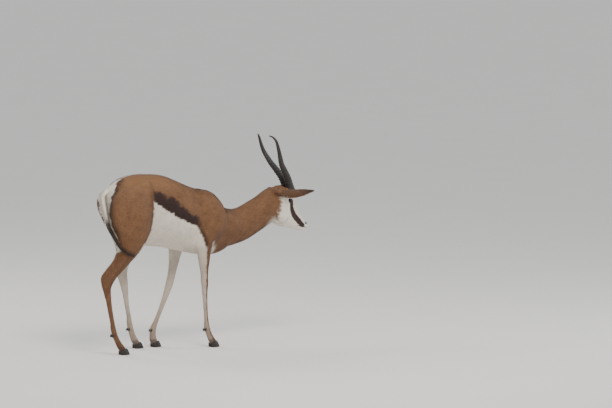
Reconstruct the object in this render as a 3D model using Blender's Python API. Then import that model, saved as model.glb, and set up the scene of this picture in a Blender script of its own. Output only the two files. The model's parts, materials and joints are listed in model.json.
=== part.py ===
"""A life-size springbok ram, standing mid-stride with its head held low.

Frame: +X is forward, +Y is the animal's left, +Z is up, in metres. The hooves
rest on z = 0. The flesh is drawn as ribs (a front or top point, a back or
bottom point, a half width), lofted, blended into one body, and then parted
with thin cuts into the pieces that a person would name.
"""

import math

import bmesh
import bpy
import numpy as np
from mathutils import Matrix, Vector

# Driving dimensions, metres
SHOULDER_HEIGHT = 0.756  # top of the withers above the ground
GAP = 0.0003  # the gap that every pair of touching pieces keeps
EYE_RADIUS = 0.0150
EYE_CENTRE = (0.699, 0.0370, 0.669)  # left eye; the right one mirrors it
HORN_BASE_RADIUS = 0.0215
HORN_LENGTH_RINGED = 0.66  # share of the horn that carries rings
HORN_RINGS = 15
EAR_LENGTH = 0.182
EAR_WALL = 0.0026
HOOF_HEIGHT = 0.034
TUFT_LOCKS = 10

BODY_VOXEL = 0.0075
HEAD_VOXEL = 0.0045
BODY_KEEP = 0.095  # share of the blended skin that is kept when it is thinned
HEAD_KEEP = 0.095

# Ribs of the trunk: (top x, z), (bottom x, z), centre y, half width, waist.
# The waist says how far up from the bottom the widest level lies.
TRUNK = [
    ((-0.298, 0.760), (-0.298, 0.660), 0.0, 0.040, 0.50),
    ((-0.272, 0.797), (-0.268, 0.585), 0.0, 0.072, 0.58),
    ((-0.220, 0.829), (-0.215, 0.525), 0.0, 0.092, 0.60),
    ((-0.150, 0.844), (-0.150, 0.505), 0.0, 0.098, 0.58),
    ((-0.080, 0.843), (-0.080, 0.497), 0.0, 0.101, 0.52),
    ((0.000, 0.834), (0.000, 0.487), 0.0, 0.112, 0.45),
    ((0.070, 0.808), (0.070, 0.470), 0.0, 0.117, 0.43),
    ((0.135, 0.779), (0.135, 0.454), 0.0, 0.113, 0.44),
    ((0.195, 0.758), (0.195, 0.441), 0.0, 0.099, 0.46),
    ((0.248, 0.745), (0.255, 0.434), 0.0, 0.083, 0.46),
    ((0.296, 0.699), (0.310, 0.440), 0.0, 0.074, 0.46),
    ((0.345, 0.649), (0.358, 0.462), 0.0, 0.062, 0.45),
    ((0.385, 0.610), (0.392, 0.500), 0.0, 0.040, 0.50),
]
NECK = [
    ((0.235, 0.734), (0.290, 0.450), 0.0, 0.066, 0.50),
    ((0.300, 0.693), (0.352, 0.463), 0.0, 0.070, 0.48),
    ((0.352, 0.659), (0.410, 0.474), 0.0, 0.066, 0.46),
    ((0.410, 0.650), (0.470, 0.491), 0.0, 0.061, 0.47),
    ((0.470, 0.670), (0.522, 0.515), 0.0, 0.056, 0.50),
    ((0.532, 0.698), (0.572, 0.541), 0.0, 0.052, 0.53),
    ((0.590, 0.732), (0.612, 0.562), 0.0, 0.050, 0.55),
    ((0.640, 0.742), (0.648, 0.575), 0.0, 0.044, 0.56),
]
HEAD = [
    ((0.612, 0.728), (0.618, 0.575), 0.0, 0.040, 0.60),
    ((0.655, 0.746), (0.645, 0.553), 0.0, 0.050, 0.62),
    ((0.697, 0.732), (0.675, 0.543), 0.0, 0.049, 0.66),
    ((0.728, 0.695), (0.700, 0.538), 0.0, 0.043, 0.68),
    ((0.751, 0.655), (0.725, 0.532), 0.0, 0.0345, 0.64),
    ((0.771, 0.620), (0.748, 0.527), 0.0, 0.0275, 0.60),
    ((0.790, 0.588), (0.769, 0.521), 0.0, 0.0240, 0.57),
    ((0.806, 0.563), (0.787, 0.517), 0.0, 0.0225, 0.57),
    ((0.812, 0.549), (0.799, 0.519), 0.0, 0.0165, 0.55),
]

# Ribs of the legs: (front x, z), (back x, z), centre |y|, half width.
HIND_RIGHT = [
    ((-0.135, 0.810), (-0.268, 0.776), 0.050, 0.040),
    ((-0.095, 0.735), (-0.310, 0.735), 0.074, 0.048),
    ((-0.092, 0.660), (-0.324, 0.675), 0.083, 0.056),
    ((-0.103, 0.590), (-0.317, 0.608), 0.087, 0.055),
    ((-0.133, 0.530), (-0.296, 0.548), 0.090, 0.047),
    ((-0.166, 0.484), (-0.290, 0.500), 0.090, 0.036),
    ((-0.212, 0.440), (-0.314, 0.452), 0.087, 0.0275),
    ((-0.250, 0.402), (-0.347, 0.414), 0.084, 0.0225),
    ((-0.287, 0.366), (-0.374, 0.378), 0.081, 0.0200),
    ((-0.314, 0.326), (-0.370, 0.338), 0.080, 0.0180),
    ((-0.316, 0.290), (-0.356, 0.292), 0.080, 0.0145),
    ((-0.311, 0.235), (-0.342, 0.235), 0.080, 0.0120),
    ((-0.299, 0.164), (-0.327, 0.166), 0.080, 0.0120),
    ((-0.284, 0.100), (-0.316, 0.104), 0.080, 0.0160),
    ((-0.265, 0.064), (-0.297, 0.060), 0.080, 0.0150),
    ((-0.246, 0.040), (-0.284, 0.034), 0.080, 0.0175),
    ((-0.240, 0.028), (-0.281, 0.024), 0.080, 0.0150),
]
HIND_LEFT = [
    ((-0.130, 0.810), (-0.264, 0.776), 0.050, 0.040),
    ((-0.078, 0.735), (-0.296, 0.736), 0.074, 0.048),
    ((-0.062, 0.660), (-0.295, 0.688), 0.083, 0.056),
    ((-0.052, 0.596), (-0.268, 0.630), 0.086, 0.055),
    ((-0.060, 0.540), (-0.236, 0.575), 0.086, 0.047),
    ((-0.080, 0.490), (-0.208, 0.520), 0.084, 0.036),
    ((-0.105, 0.442), (-0.194, 0.462), 0.081, 0.0275),
    ((-0.124, 0.405), (-0.194, 0.416), 0.079, 0.0225),
    ((-0.138, 0.368), (-0.199, 0.374), 0.077, 0.0200),
    ((-0.135, 0.328), (-0.188, 0.338), 0.076, 0.0180),
    ((-0.134, 0.285), (-0.172, 0.288), 0.075, 0.0145),
    ((-0.130, 0.222), (-0.159, 0.222), 0.075, 0.0120),
    ((-0.120, 0.163), (-0.147, 0.163), 0.075, 0.0120),
    ((-0.108, 0.102), (-0.139, 0.104), 0.075, 0.0160),
    ((-0.095, 0.064), (-0.127, 0.060), 0.075, 0.0150),
    ((-0.080, 0.040), (-0.118, 0.034), 0.075, 0.0175),
    ((-0.075, 0.028), (-0.115, 0.024), 0.075, 0.0150),
]
FORE_RIGHT = [
    ((0.262, 0.742), (0.196, 0.748), 0.040, 0.026),
    ((0.302, 0.690), (0.165, 0.700), 0.062, 0.038),
    ((0.330, 0.628), (0.146, 0.640), 0.075, 0.042),
    ((0.322, 0.570), (0.136, 0.582), 0.080, 0.040),
    ((0.268, 0.520), (0.130, 0.535), 0.082, 0.034),
    ((0.237, 0.468), (0.150, 0.478), 0.081, 0.0270),
    ((0.224, 0.405), (0.165, 0.408), 0.079, 0.0210),
    ((0.218, 0.350), (0.176, 0.352), 0.077, 0.0175),
    ((0.219, 0.308), (0.178, 0.312), 0.076, 0.0180),
    ((0.216, 0.267), (0.184, 0.269), 0.075, 0.0140),
    ((0.216, 0.204), (0.190, 0.204), 0.075, 0.0115),
    ((0.221, 0.134), (0.195, 0.136), 0.075, 0.0115),
    ((0.228, 0.092), (0.196, 0.096), 0.075, 0.0155),
    ((0.242, 0.060), (0.209, 0.056), 0.075, 0.0145),
    ((0.256, 0.040), (0.218, 0.034), 0.075, 0.0170),
    ((0.261, 0.028), (0.220, 0.024), 0.075, 0.0145),
]
FORE_LEFT = [
    ((0.262, 0.742), (0.196, 0.748), 0.040, 0.026),
    ((0.300, 0.690), (0.160, 0.700), 0.062, 0.038),
    ((0.318, 0.628), (0.136, 0.640), 0.075, 0.042),
    ((0.295, 0.570), (0.110, 0.582), 0.080, 0.040),
    ((0.228, 0.518), (0.092, 0.530), 0.081, 0.034),
    ((0.172, 0.462), (0.092, 0.468), 0.078, 0.0270),
    ((0.146, 0.398), (0.090, 0.402), 0.075, 0.0210),
    ((0.127, 0.342), (0.083, 0.350), 0.073, 0.0175),
    ((0.114, 0.298), (0.072, 0.308), 0.072, 0.0180),
    ((0.088, 0.243), (0.055, 0.252), 0.071, 0.0140),
    ((0.056, 0.178), (0.030, 0.186), 0.070, 0.0115),
    ((0.030, 0.124), (0.005, 0.132), 0.070, 0.0115),
    ((0.016, 0.088), (-0.018, 0.092), 0.070, 0.0155),
    ((0.014, 0.058), (-0.021, 0.056), 0.070, 0.0145),
    ((0.018, 0.040), (-0.021, 0.034), 0.070, 0.0170),
    ((0.020, 0.028), (-0.021, 0.024), 0.070, 0.0145),
]

# Muscle and bone that stand out of the lofts: centre, radii, pitch in degrees.
# A y other than 0 is set on both sides.
FORMS = [
    ((-0.128, 0.058, 0.793), (0.042, 0.024, 0.024), -20),  # hip bone
    ((-0.284, 0.048, 0.735), (0.026, 0.026, 0.030), 0),  # seat bone
    ((0.222, 0.030, 0.738), (0.036, 0.017, 0.020), 5),  # top of the shoulder blade
    ((0.335, 0.036, 0.532), (0.040, 0.030, 0.060), 20),  # breast
    ((0.300, 0.068, 0.610), (0.030, 0.026, 0.036), 0),  # point of the shoulder
    ((0.700, 0.034, 0.672), (0.023, 0.0155, 0.021), 0),  # eye socket rim
    ((0.668, 0.037, 0.604), (0.032, 0.0145, 0.042), 30),  # cheek
    ((0.711, 0.019, 0.717), (0.025, 0.018, 0.019), 50),  # horn seat
    ((0.632, 0.034, 0.716), (0.022, 0.018, 0.018), 0),  # ear seat
    ((0.803, 0.0105, 0.549), (0.014, 0.0105, 0.012), 50),  # nostril wing
    ((0.797, 0.0125, 0.539), (0.019, 0.0110, 0.0065), 12),  # upper lip
    ((0.787, 0.0080, 0.5235), (0.019, 0.0095, 0.0065), 12),  # lower lip
]

# Horn line from the skull: height above the base, backward lean, half spread.
HORN_BASE = (0.722, 0.712)
HORN_LINE = [
    (0.000, 0.000, 0.0196),
    (0.028, 0.011, 0.0203),
    (0.069, 0.028, 0.0272),
    (0.114, 0.058, 0.0410),
    (0.140, 0.076, 0.0505),
    (0.191, 0.100, 0.0710),
    (0.226, 0.112, 0.0770),
    (0.255, 0.122, 0.0760),
    (0.274, 0.135, 0.0660),
    (0.281, 0.149, 0.0500),
]

# Ear: root and tip of the right ear, and the half width along it
EAR_ROOT = (0.626, -0.042, 0.722)
EAR_TIP = (0.7745, -0.144, 0.7225)
EAR_WIDTHS = [0.0125, 0.0150, 0.0195, 0.0230, 0.0245, 0.0235, 0.0190, 0.0105, 0.0015]
EAR_ARC_ROOT, EAR_ARC_TIP = 300.0, 95.0  # degrees of the tube that is closed

# Tail line, root to tip: down the rump, then round the back of the right thigh
TAIL_LINE = [
    (-0.286, 0.000, 0.772),
    (-0.309, 0.001, 0.757),
    (-0.314, 0.002, 0.736),
    (-0.312, -0.012, 0.687),
    (-0.310, -0.036, 0.632),
    (-0.320, -0.070, 0.606),
    (-0.323, -0.097, 0.586),
    (-0.313, -0.110, 0.562),
    (-0.303, -0.115, 0.542),
    (-0.293, -0.121, 0.519),
    (-0.266, -0.129, 0.497),
    (-0.205, -0.119, 0.469),
]
TAIL_FLESH_SHARE = 0.62  # of the line's length that is tail, the rest is tuft

# Hooves: centre x, |y| and side of each foot
FEET = {
    "front_right": (0.246, 0.075, -1),
    "front_left": (0.009, 0.070, 1),
    "hind_right": (-0.252, 0.080, -1),
    "hind_left": (-0.087, 0.075, 1),
}

COLOURS = {
    "fawn": (0.42, 0.22, 0.11),
    "cream": (0.80, 0.74, 0.66),
    "horn": (0.045, 0.035, 0.03),
    "eye": (0.015, 0.01, 0.008),
    "hoof": (0.06, 0.05, 0.045),
    "tuft": (0.03, 0.022, 0.018),
}
ROUGHNESS = {"fawn": 0.8, "cream": 0.85, "horn": 0.45, "eye": 0.08, "hoof": 0.4, "tuft": 0.7}


def clear_scene():
    for obj in list(bpy.data.objects):
        bpy.data.objects.remove(obj, do_unlink=True)


def material(name):
    found = bpy.data.materials.get(name)
    if found:
        return found
    made = bpy.data.materials.new(name)
    made.use_nodes = True
    shader = made.node_tree.nodes["Principled BSDF"]
    shader.inputs["Base Color"].default_value = (*COLOURS[name], 1)
    shader.inputs["Roughness"].default_value = ROUGHNESS[name]
    return made


def smooth_line(points, count):
    """Catmull-Rom through the points, evenly spaced along their length."""
    rows = np.array(points, float)
    ends = np.vstack([2 * rows[0] - rows[1], rows, 2 * rows[-1] - rows[-2]])
    dense = []
    for i in range(len(rows) - 1):
        a, b, c, d = ends[i : i + 4]
        for t in np.linspace(0, 1, 24, endpoint=False):
            dense.append(
                0.5
                * (2 * b + (c - a) * t + (2 * a - 5 * b + 4 * c - d) * t**2 + (3 * b - a - 3 * c + d) * t**3)
            )
    dense = np.array(dense + [rows[-1]])
    steps = np.linalg.norm(np.diff(dense[:, : min(3, dense.shape[1])], axis=0), axis=1)
    along = np.concatenate([[0], np.cumsum(steps)])
    wanted = np.linspace(0, along[-1], count)
    return np.array([np.interp(wanted, along, dense[:, k]) for k in range(dense.shape[1])]).T


def object_from(name, verts, faces, slot):
    mesh = bpy.data.meshes.new(name)
    mesh.from_pydata([tuple(v) for v in verts], [], faces)
    mesh.update()
    obj = bpy.data.objects.new(name, mesh)
    bpy.context.scene.collection.objects.link(obj)
    obj.data.materials.append(material(slot))
    outward(obj)
    return obj


def outward(obj):
    """Turns every face of a closed mesh to point out."""
    work = bmesh.new()
    work.from_mesh(obj.data)
    bmesh.ops.recalc_face_normals(work, faces=work.faces)
    if work.calc_volume(signed=True) < 0:
        bmesh.ops.reverse_faces(work, faces=work.faces)
    work.to_mesh(obj.data)
    work.free()


def tube_faces(rings, sides):
    """Faces of a loft of rings with a flat cap at each end."""
    faces = [list(range(sides))[::-1], [(rings - 1) * sides + i for i in range(sides)]]
    for r in range(rings - 1):
        for i in range(sides):
            j = (i + 1) % sides
            faces.append([r * sides + i, r * sides + j, (r + 1) * sides + j, (r + 1) * sides + i])
    return faces


def rib_loft(name, ribs, side=1, rings=40, sides=28):
    """A closed loft through ribs. A leg's rib has no waist, so it is even."""
    rows = []
    for rib in ribs:
        (tx, tz), (bx, bz), y, half = rib[:4]
        waist = rib[4] if len(rib) > 4 else 0.5
        rows.append([(tx + bx) / 2, y, (tz + bz) / 2, tx, tz, bx, bz, half, waist])
    verts = []
    for row in smooth_line(rows, rings):
        y, tx, tz, bx, bz, half, waist = row[1], *row[3:9]
        top, bottom = Vector((tx, side * y, tz)), Vector((bx, side * y, bz))
        widest = bottom.lerp(top, waist)
        for i in range(sides):
            turn = 2 * math.pi * i / sides
            rise = math.sin(turn)
            reach = (top - widest) if rise > 0 else (widest - bottom)
            verts.append(widest + reach * rise + Vector((0, half * math.cos(turn), 0)))
    return object_from(name, verts, tube_faces(rings, sides), "fawn")


def lump(centre, radii, pitch, side=1):
    """An ellipsoid turned about the Y axis."""
    work = bmesh.new()
    bmesh.ops.create_icosphere(work, subdivisions=3, radius=1)
    place = (
        Matrix.Translation((centre[0], side * centre[1], centre[2]))
        @ Matrix.Rotation(math.radians(pitch), 4, "Y")
        @ Matrix.Diagonal((*radii, 1))
    )
    bmesh.ops.transform(work, matrix=place, verts=work.verts)
    mesh = bpy.data.meshes.new("form")
    work.to_mesh(mesh)
    work.free()
    obj = bpy.data.objects.new("form", mesh)
    bpy.context.scene.collection.objects.link(obj)
    obj.data.materials.append(material("fawn"))
    return obj


def bake(obj):
    """Applies every modifier and keeps one slot of material."""
    graph = bpy.context.evaluated_depsgraph_get()
    mesh = bpy.data.meshes.new_from_object(obj.evaluated_get(graph))
    obj.modifiers.clear()
    obj.data = mesh
    return obj


def joined(name, pieces):
    """The pieces' meshes in one object, still crossing one another."""
    work = bmesh.new()
    for piece in pieces:
        work.from_mesh(piece.data)
        bpy.data.objects.remove(piece, do_unlink=True)
    mesh = bpy.data.meshes.new(name)
    work.to_mesh(mesh)
    work.free()
    obj = bpy.data.objects.new(name, mesh)
    bpy.context.scene.collection.objects.link(obj)
    obj.data.materials.append(material("fawn"))
    return obj


def blended(obj, voxel, smoothing, keep):
    """One closed skin over crossing lofts: remeshed, eased and thinned."""
    remesh = obj.modifiers.new("remesh", "REMESH")
    remesh.mode = "VOXEL"
    remesh.voxel_size = voxel
    bake(obj)
    ease = obj.modifiers.new("ease", "SMOOTH")
    ease.factor = 0.5
    ease.iterations = smoothing
    thin = obj.modifiers.new("thin", "DECIMATE")
    thin.ratio = keep
    bake(obj)
    return largest(obj)


def largest(obj):
    """Keeps the largest closed surface of a mesh."""
    work = bmesh.new()
    work.from_mesh(obj.data)
    left, shells = set(work.verts), []
    while left:
        shell, edge = set(), [left.pop()]
        while edge:
            vert = edge.pop()
            shell.add(vert)
            for link in vert.link_edges:
                other = link.other_vert(vert)
                if other in left:
                    left.discard(other)
                    edge.append(other)
        shells.append(shell)
    keep = max(shells, key=len)
    bmesh.ops.delete(work, geom=[v for v in work.verts if v not in keep], context="VERTS")
    work.to_mesh(obj.data)
    work.free()
    return obj


def copy_of(obj, name):
    made = obj.copy()
    made.data = obj.data.copy()
    made.name = name
    bpy.context.scene.collection.objects.link(made)
    return made


def cut(obj, cutter, operation, solver="EXACT"):
    """Applies one Boolean to obj and keeps its largest closed surface."""
    step = obj.modifiers.new("cut", "BOOLEAN")
    step.operation = operation
    step.solver = solver
    step.object = cutter
    bake(obj)
    return largest(obj)


def welded(obj, within=0.00003):
    """Merges the sliver edges that a Boolean leaves."""
    work = bmesh.new()
    work.from_mesh(obj.data)
    bmesh.ops.triangulate(work, faces=work.faces[:])
    bmesh.ops.remove_doubles(work, verts=work.verts[:], dist=within)
    bmesh.ops.dissolve_degenerate(work, edges=work.edges[:], dist=within)
    bmesh.ops.triangulate(work, faces=work.faces[:])
    work.to_mesh(obj.data)
    work.free()
    return obj


def swollen(obj, by):
    """A copy of obj with its skin moved out by a small distance."""
    made = copy_of(obj, "swollen")
    grow = made.modifiers.new("grow", "DISPLACE")
    grow.strength = by
    grow.mid_level = 0
    return bake(made)


def drop(*objs):
    for obj in objs:
        bpy.data.objects.remove(obj, do_unlink=True)


def extruded(name, outline, y_from, y_to):
    """A cutter: a closed outline in X and Z, drawn from one y to another."""
    n = len(outline)
    verts = [(x, y_from, z) for x, z in outline] + [(x, y_to, z) for x, z in outline]
    faces = [list(range(n)), [n + i for i in range(n)][::-1]]
    faces += [[i, (i + 1) % n, n + (i + 1) % n, n + i] for i in range(n)]
    return object_from(name, verts, faces, "fawn")


def grown_outline(outline, by):
    """The outline moved out by a distance, for the gap round a cut."""
    pts = [Vector(p) for p in outline]
    area = sum(a.x * b.y - b.x * a.y for a, b in zip(pts, pts[1:] + pts[:1]))
    sign = 1 if area > 0 else -1
    out = []
    for i, p in enumerate(pts):
        back, fwd = (p - pts[i - 1]).normalized(), (pts[(i + 1) % len(pts)] - p).normalized()
        normal = Vector((back.y + fwd.y, -back.x - fwd.x)).normalized() * sign
        out.append(tuple(p + normal * by))
    return out


def plane_split(obj, name, point, normal):
    """Parts obj at a plane: obj keeps the side behind it, a new object the rest."""
    other = copy_of(obj, name)
    normal = Vector(normal).normalized()
    for piece, facing in ((obj, 1), (other, -1)):
        work = bmesh.new()
        work.from_mesh(piece.data)
        made = bmesh.ops.bisect_plane(
            work,
            geom=work.verts[:] + work.edges[:] + work.faces[:],
            dist=1e-7,
            plane_co=Vector(point) - normal * facing * GAP / 2,
            plane_no=normal * facing,
            clear_outer=True,
        )
        rim = [e for e in made["geom_cut"] if isinstance(e, bmesh.types.BMEdge)]
        bmesh.ops.contextual_create(work, geom=rim)
        bmesh.ops.triangulate(work, faces=work.faces[:])
        work.to_mesh(piece.data)
        work.free()
        outward(piece)
        largest(piece)
    return other


# Cutters of the legs: outlines in X and Z, lower ends well below the hooves
LEG_CUTS = {
    "hind_right": (
        -1,
        [
            (-0.150, 0.470), (-0.104, 0.540), (-0.074, 0.610), (-0.075, 0.680), (-0.095, 0.745),
            (-0.140, 0.788), (-0.200, 0.799), (-0.258, 0.782), (-0.300, 0.742), (-0.420, 0.720),
            (-0.420, -0.050), (-0.150, -0.050),
        ],
    ),
    "hind_left": (
        1,
        [
            (-0.050, 0.470), (-0.035, 0.540), (-0.038, 0.610), (-0.055, 0.680), (-0.090, 0.745),
            (-0.140, 0.788), (-0.200, 0.799), (-0.258, 0.782), (-0.300, 0.742), (-0.420, 0.720),
            (-0.420, -0.050), (-0.050, -0.050),
        ],
    ),
    "front_right": (
        -1,
        [
            (0.300, 0.400), (0.292, 0.500), (0.322, 0.565), (0.325, 0.620), (0.300, 0.675),
            (0.262, 0.716), (0.220, 0.728), (0.178, 0.706), (0.146, 0.650), (0.128, 0.580),
            (0.122, 0.500), (0.130, 0.400), (0.130, -0.050), (0.300, -0.050),
        ],
    ),
    "front_left": (
        1,
        [
            (0.250, 0.400), (0.270, 0.500), (0.318, 0.565), (0.322, 0.620), (0.298, 0.675),
            (0.262, 0.716), (0.220, 0.728), (0.176, 0.706), (0.138, 0.650), (0.112, 0.580),
            (0.084, 0.500), (0.060, 0.400), (-0.035, 0.300), (-0.035, -0.050), (0.250, -0.050),
        ],
    ),
}
LEG_RIBS = {
    "hind_right": HIND_RIGHT,
    "hind_left": HIND_LEFT,
    "front_right": FORE_RIGHT,
    "front_left": FORE_LEFT,
}
LEG_INNER_FACE = 0.034  # distance of the legs' inner cut from the midline
CUTTER_REACH = 0.30

THROAT_POINT, THROAT_NORMAL = (0.607, 0.0, 0.650), (0.996, 0.0, 0.085)
NECK_POINT, NECK_NORMAL = (0.338, 0.0, 0.570), (0.86, 0.0, 0.50)

CORONET_LIFT, CORONET_TILT = 0.0305, 0.20  # height at the foot's centre, rise to the toe
CLAW_LENGTH, CLAW_HALF_WIDTH, CLAW_OFFSET = 0.050, 0.0098, 0.0106
CLAW_BACK_SHARE = 0.45  # share of the claw that lies behind the foot's centre

MOUTH_FRONT, MOUTH_CORNER = (0.816, 0.5325), (0.751, 0.5475)
MOUTH_DEPTH, MOUTH_GAP = 0.0030, 0.0014


def body_and_head():
    """The two blended skins: a coarse one for the body, a fine one for the head."""
    pieces = [rib_loft("trunk", TRUNK), rib_loft("neck", NECK), rib_loft("skull", HEAD)]
    for name, ribs in LEG_RIBS.items():
        pieces.append(rib_loft(name, ribs, side=LEG_CUTS[name][0], rings=60, sides=20))
    head_pieces = [rib_loft("neck", NECK), rib_loft("skull", HEAD, rings=60)]
    for centre, radii, pitch in FORMS:
        for side in (-1, 1):
            on_head = centre[0] > 0.60
            (head_pieces if on_head else pieces).append(lump(centre, radii, pitch, side))
            if on_head and centre[0] < 0.66:
                pieces.append(lump(centre, radii, pitch, side))
    body = blended(joined("torso", pieces), BODY_VOXEL, 8, BODY_KEEP)
    head = blended(joined("head", head_pieces), HEAD_VOXEL, 5, HEAD_KEEP)
    return body, head


def part_legs(torso):
    """Cuts the four legs out of the body, each with its shoulder or thigh."""
    legs = {}
    for name, (side, outline) in LEG_CUTS.items():
        cutter = extruded("cutter", outline, side * LEG_INNER_FACE, side * CUTTER_REACH)
        wide = extruded("wide", grown_outline(outline, GAP), side * (LEG_INNER_FACE - GAP), side * (CUTTER_REACH + GAP))
        leg = copy_of(torso, "leg_" + name)
        cut(leg, cutter, "INTERSECT")
        cut(torso, wide, "DIFFERENCE")
        drop(cutter, wide)
        legs[name] = leg
    return legs


def coronet(foot, drop_by=0.0):
    """The plane between a leg and its claws: a point and its upward normal."""
    x, y, side = FEET[foot]
    normal = Vector((-CORONET_TILT, 0, 1)).normalized()
    return Vector((x, side * y, CORONET_LIFT)) - normal * drop_by, normal


def keep_side(obj, point, normal):
    """Keeps what lies behind a plane and closes the cut with a flat face."""
    work = bmesh.new()
    work.from_mesh(obj.data)
    made = bmesh.ops.bisect_plane(
        work,
        geom=work.verts[:] + work.edges[:] + work.faces[:],
        dist=1e-7,
        plane_co=point,
        plane_no=normal,
        clear_outer=True,
    )
    rim = [e for e in made["geom_cut"] if isinstance(e, bmesh.types.BMEdge)]
    bmesh.ops.contextual_create(work, geom=rim)
    bmesh.ops.triangulate(work, faces=work.faces[:])
    work.to_mesh(obj.data)
    work.free()
    outward(obj)
    return largest(obj)


def claw(foot, place):
    """One claw of a cloven hoof: a pointed, flat-soled wedge."""
    x, y, side = FEET[foot]
    away = 1 if place == "outer" else -1
    sides, verts = 10, []
    levels = [(0.0, 1.0, 0.0), (0.004, 1.0, -0.0005), (0.020, 0.90, -0.007), (0.046, 0.74, -0.020)]
    for height, share, lean in levels:
        for i in range(sides):
            turn = 2 * math.pi * i / sides
            along, across = math.cos(turn), math.sin(turn)
            reach = CLAW_LENGTH * (1 - CLAW_BACK_SHARE if along > 0 else CLAW_BACK_SHARE)
            taper = 1 - 0.55 * max(0.0, along) ** 2.2
            inward = 0.0022 * max(0.0, along) ** 2
            vx = x + 0.004 + lean + reach * along * (0.62 + 0.38 * share)
            vy = away * (CLAW_OFFSET - inward) + CLAW_HALF_WIDTH * across * taper * (0.4 + 0.6 * share)
            verts.append((vx, side * (y + vy), height))
    made = object_from(f"hoof_{foot}_{place}", verts, tube_faces(len(levels), sides), "hoof")
    point, normal = coronet(foot, GAP)
    keep_side(made, point, normal)
    inner = Vector((x, side * (y + away * 0.0009), 0))
    return keep_side(made, inner, Vector((0, -side * away, 0)))


def eye_rim(side):
    """The lids: an oval ring round the eye, thicker above than below."""
    around, thick = 20, 6
    verts, faces = [], []
    centre = Vector((EYE_CENTRE[0] + 0.001, side * (EYE_CENTRE[1] + 0.0105), EYE_CENTRE[2]))
    long_way = Vector((0.76, -side * 0.10, -0.64)).normalized()
    out_way = Vector((0.22, side * 0.96, 0.10)).normalized()
    short_way = out_way.cross(long_way) * side
    if short_way.z < 0:
        short_way = -short_way
    for i in range(around):
        turn = 2 * math.pi * i / around
        across = math.sin(turn)
        ring_at = centre + long_way * 0.0122 * math.cos(turn) + short_way * 0.0094 * across
        ring_at -= out_way * 0.0030 * abs(math.cos(turn)) ** 2
        radial = (long_way * math.cos(turn) + short_way * across).normalized()
        size = 0.0030 if across > 0 else 0.0023
        for j in range(thick):
            lap = 2 * math.pi * j / thick
            verts.append(ring_at + radial * size * math.cos(lap) + out_way * size * math.sin(lap))
    for i in range(around):
        for j in range(thick):
            k, m = (i + 1) % around, (j + 1) % thick
            faces.append([i * thick + j, k * thick + j, k * thick + m, i * thick + m])
    return object_from("lid", verts, faces, "fawn")


def ball(name, centre, radii, slot, subdivisions=3, turn=None):
    work = bmesh.new()
    bmesh.ops.create_icosphere(work, subdivisions=subdivisions, radius=1)
    place = Matrix.Translation(centre) @ (turn or Matrix.Identity(4)) @ Matrix.Diagonal((*radii, 1))
    bmesh.ops.transform(work, matrix=place, verts=work.verts)
    mesh = bpy.data.meshes.new(name)
    work.to_mesh(mesh)
    work.free()
    obj = bpy.data.objects.new(name, mesh)
    bpy.context.scene.collection.objects.link(obj)
    obj.data.materials.append(material(slot))
    outward(obj)
    return obj


def mouth_cutter():
    """A thin slab that follows the lips round the muzzle, corner to corner."""
    front, corner = Vector((MOUTH_FRONT[0], 0, MOUTH_FRONT[1])), Vector((MOUTH_CORNER[0], 0, MOUTH_CORNER[1]))
    along = (front - corner).normalized()
    up = Vector((-along.z, 0, along.x))
    inner, outer = [], []
    steps = 12
    for i in range(steps + 1):
        share = i / steps
        half = 0.0215 + 0.003 * (1 - share) - 0.0145 * max(0.0, share - 0.55) ** 1.6 / 0.45**1.6
        reach = (front - corner).length * share
        inner.append((reach - MOUTH_DEPTH * share**3, half - MOUTH_DEPTH * min(1, 4 * share)))
        outer.append((reach + 0.012 * share**3, half + 0.012))
    path_in = inner + [(a, -b) for a, b in inner[::-1]]
    path_out = outer + [(a, -b) for a, b in outer[::-1]]
    n = len(path_in)
    verts = []
    for lift in (-MOUTH_GAP / 2, MOUTH_GAP / 2):
        for path in (path_in, path_out):
            verts += [corner + along * a + Vector((0, b, 0)) + up * lift for a, b in path]
    faces = []
    for i in range(n - 1):
        faces.append([i, i + 1, n + i + 1, n + i])
        faces.append([2 * n + i, 3 * n + i, 3 * n + i + 1, 2 * n + i + 1])
        faces.append([i, 2 * n + i, 2 * n + i + 1, i + 1])
        faces.append([n + i, n + i + 1, 3 * n + i + 1, 3 * n + i])
    faces.append([0, n, 3 * n, 2 * n])
    faces.append([n - 1, 3 * n - 1, 4 * n - 1, 2 * n - 1])
    return object_from("mouth", verts, faces, "fawn")


def finish_head(head):
    """Lids, eye sockets, nostrils and the line of the mouth."""
    eyes = []
    for side, word in ((-1, "right"), (1, "left")):
        lid = eye_rim(side)
        cut(head, lid, "UNION")
        centre = (EYE_CENTRE[0], side * EYE_CENTRE[1], EYE_CENTRE[2])
        socket = ball("socket", centre, [EYE_RADIUS + GAP] * 3, "fawn")
        cut(head, socket, "DIFFERENCE")
        eyes.append(ball(f"eye_{word}", centre, [EYE_RADIUS] * 3, "eye"))
        turn = Matrix.Rotation(math.radians(-30), 4, "Y") @ Matrix.Rotation(math.radians(side * 28), 4, "Z")
        nostril = ball("nostril", (0.813, side * 0.0125, 0.5515), (0.0058, 0.0026, 0.0042), "fawn", 2, turn)
        cut(head, nostril, "DIFFERENCE")
        drop(lid, socket, nostril)
    mouth = mouth_cutter()
    cut(head, mouth, "DIFFERENCE")
    drop(mouth)
    return eyes


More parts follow.
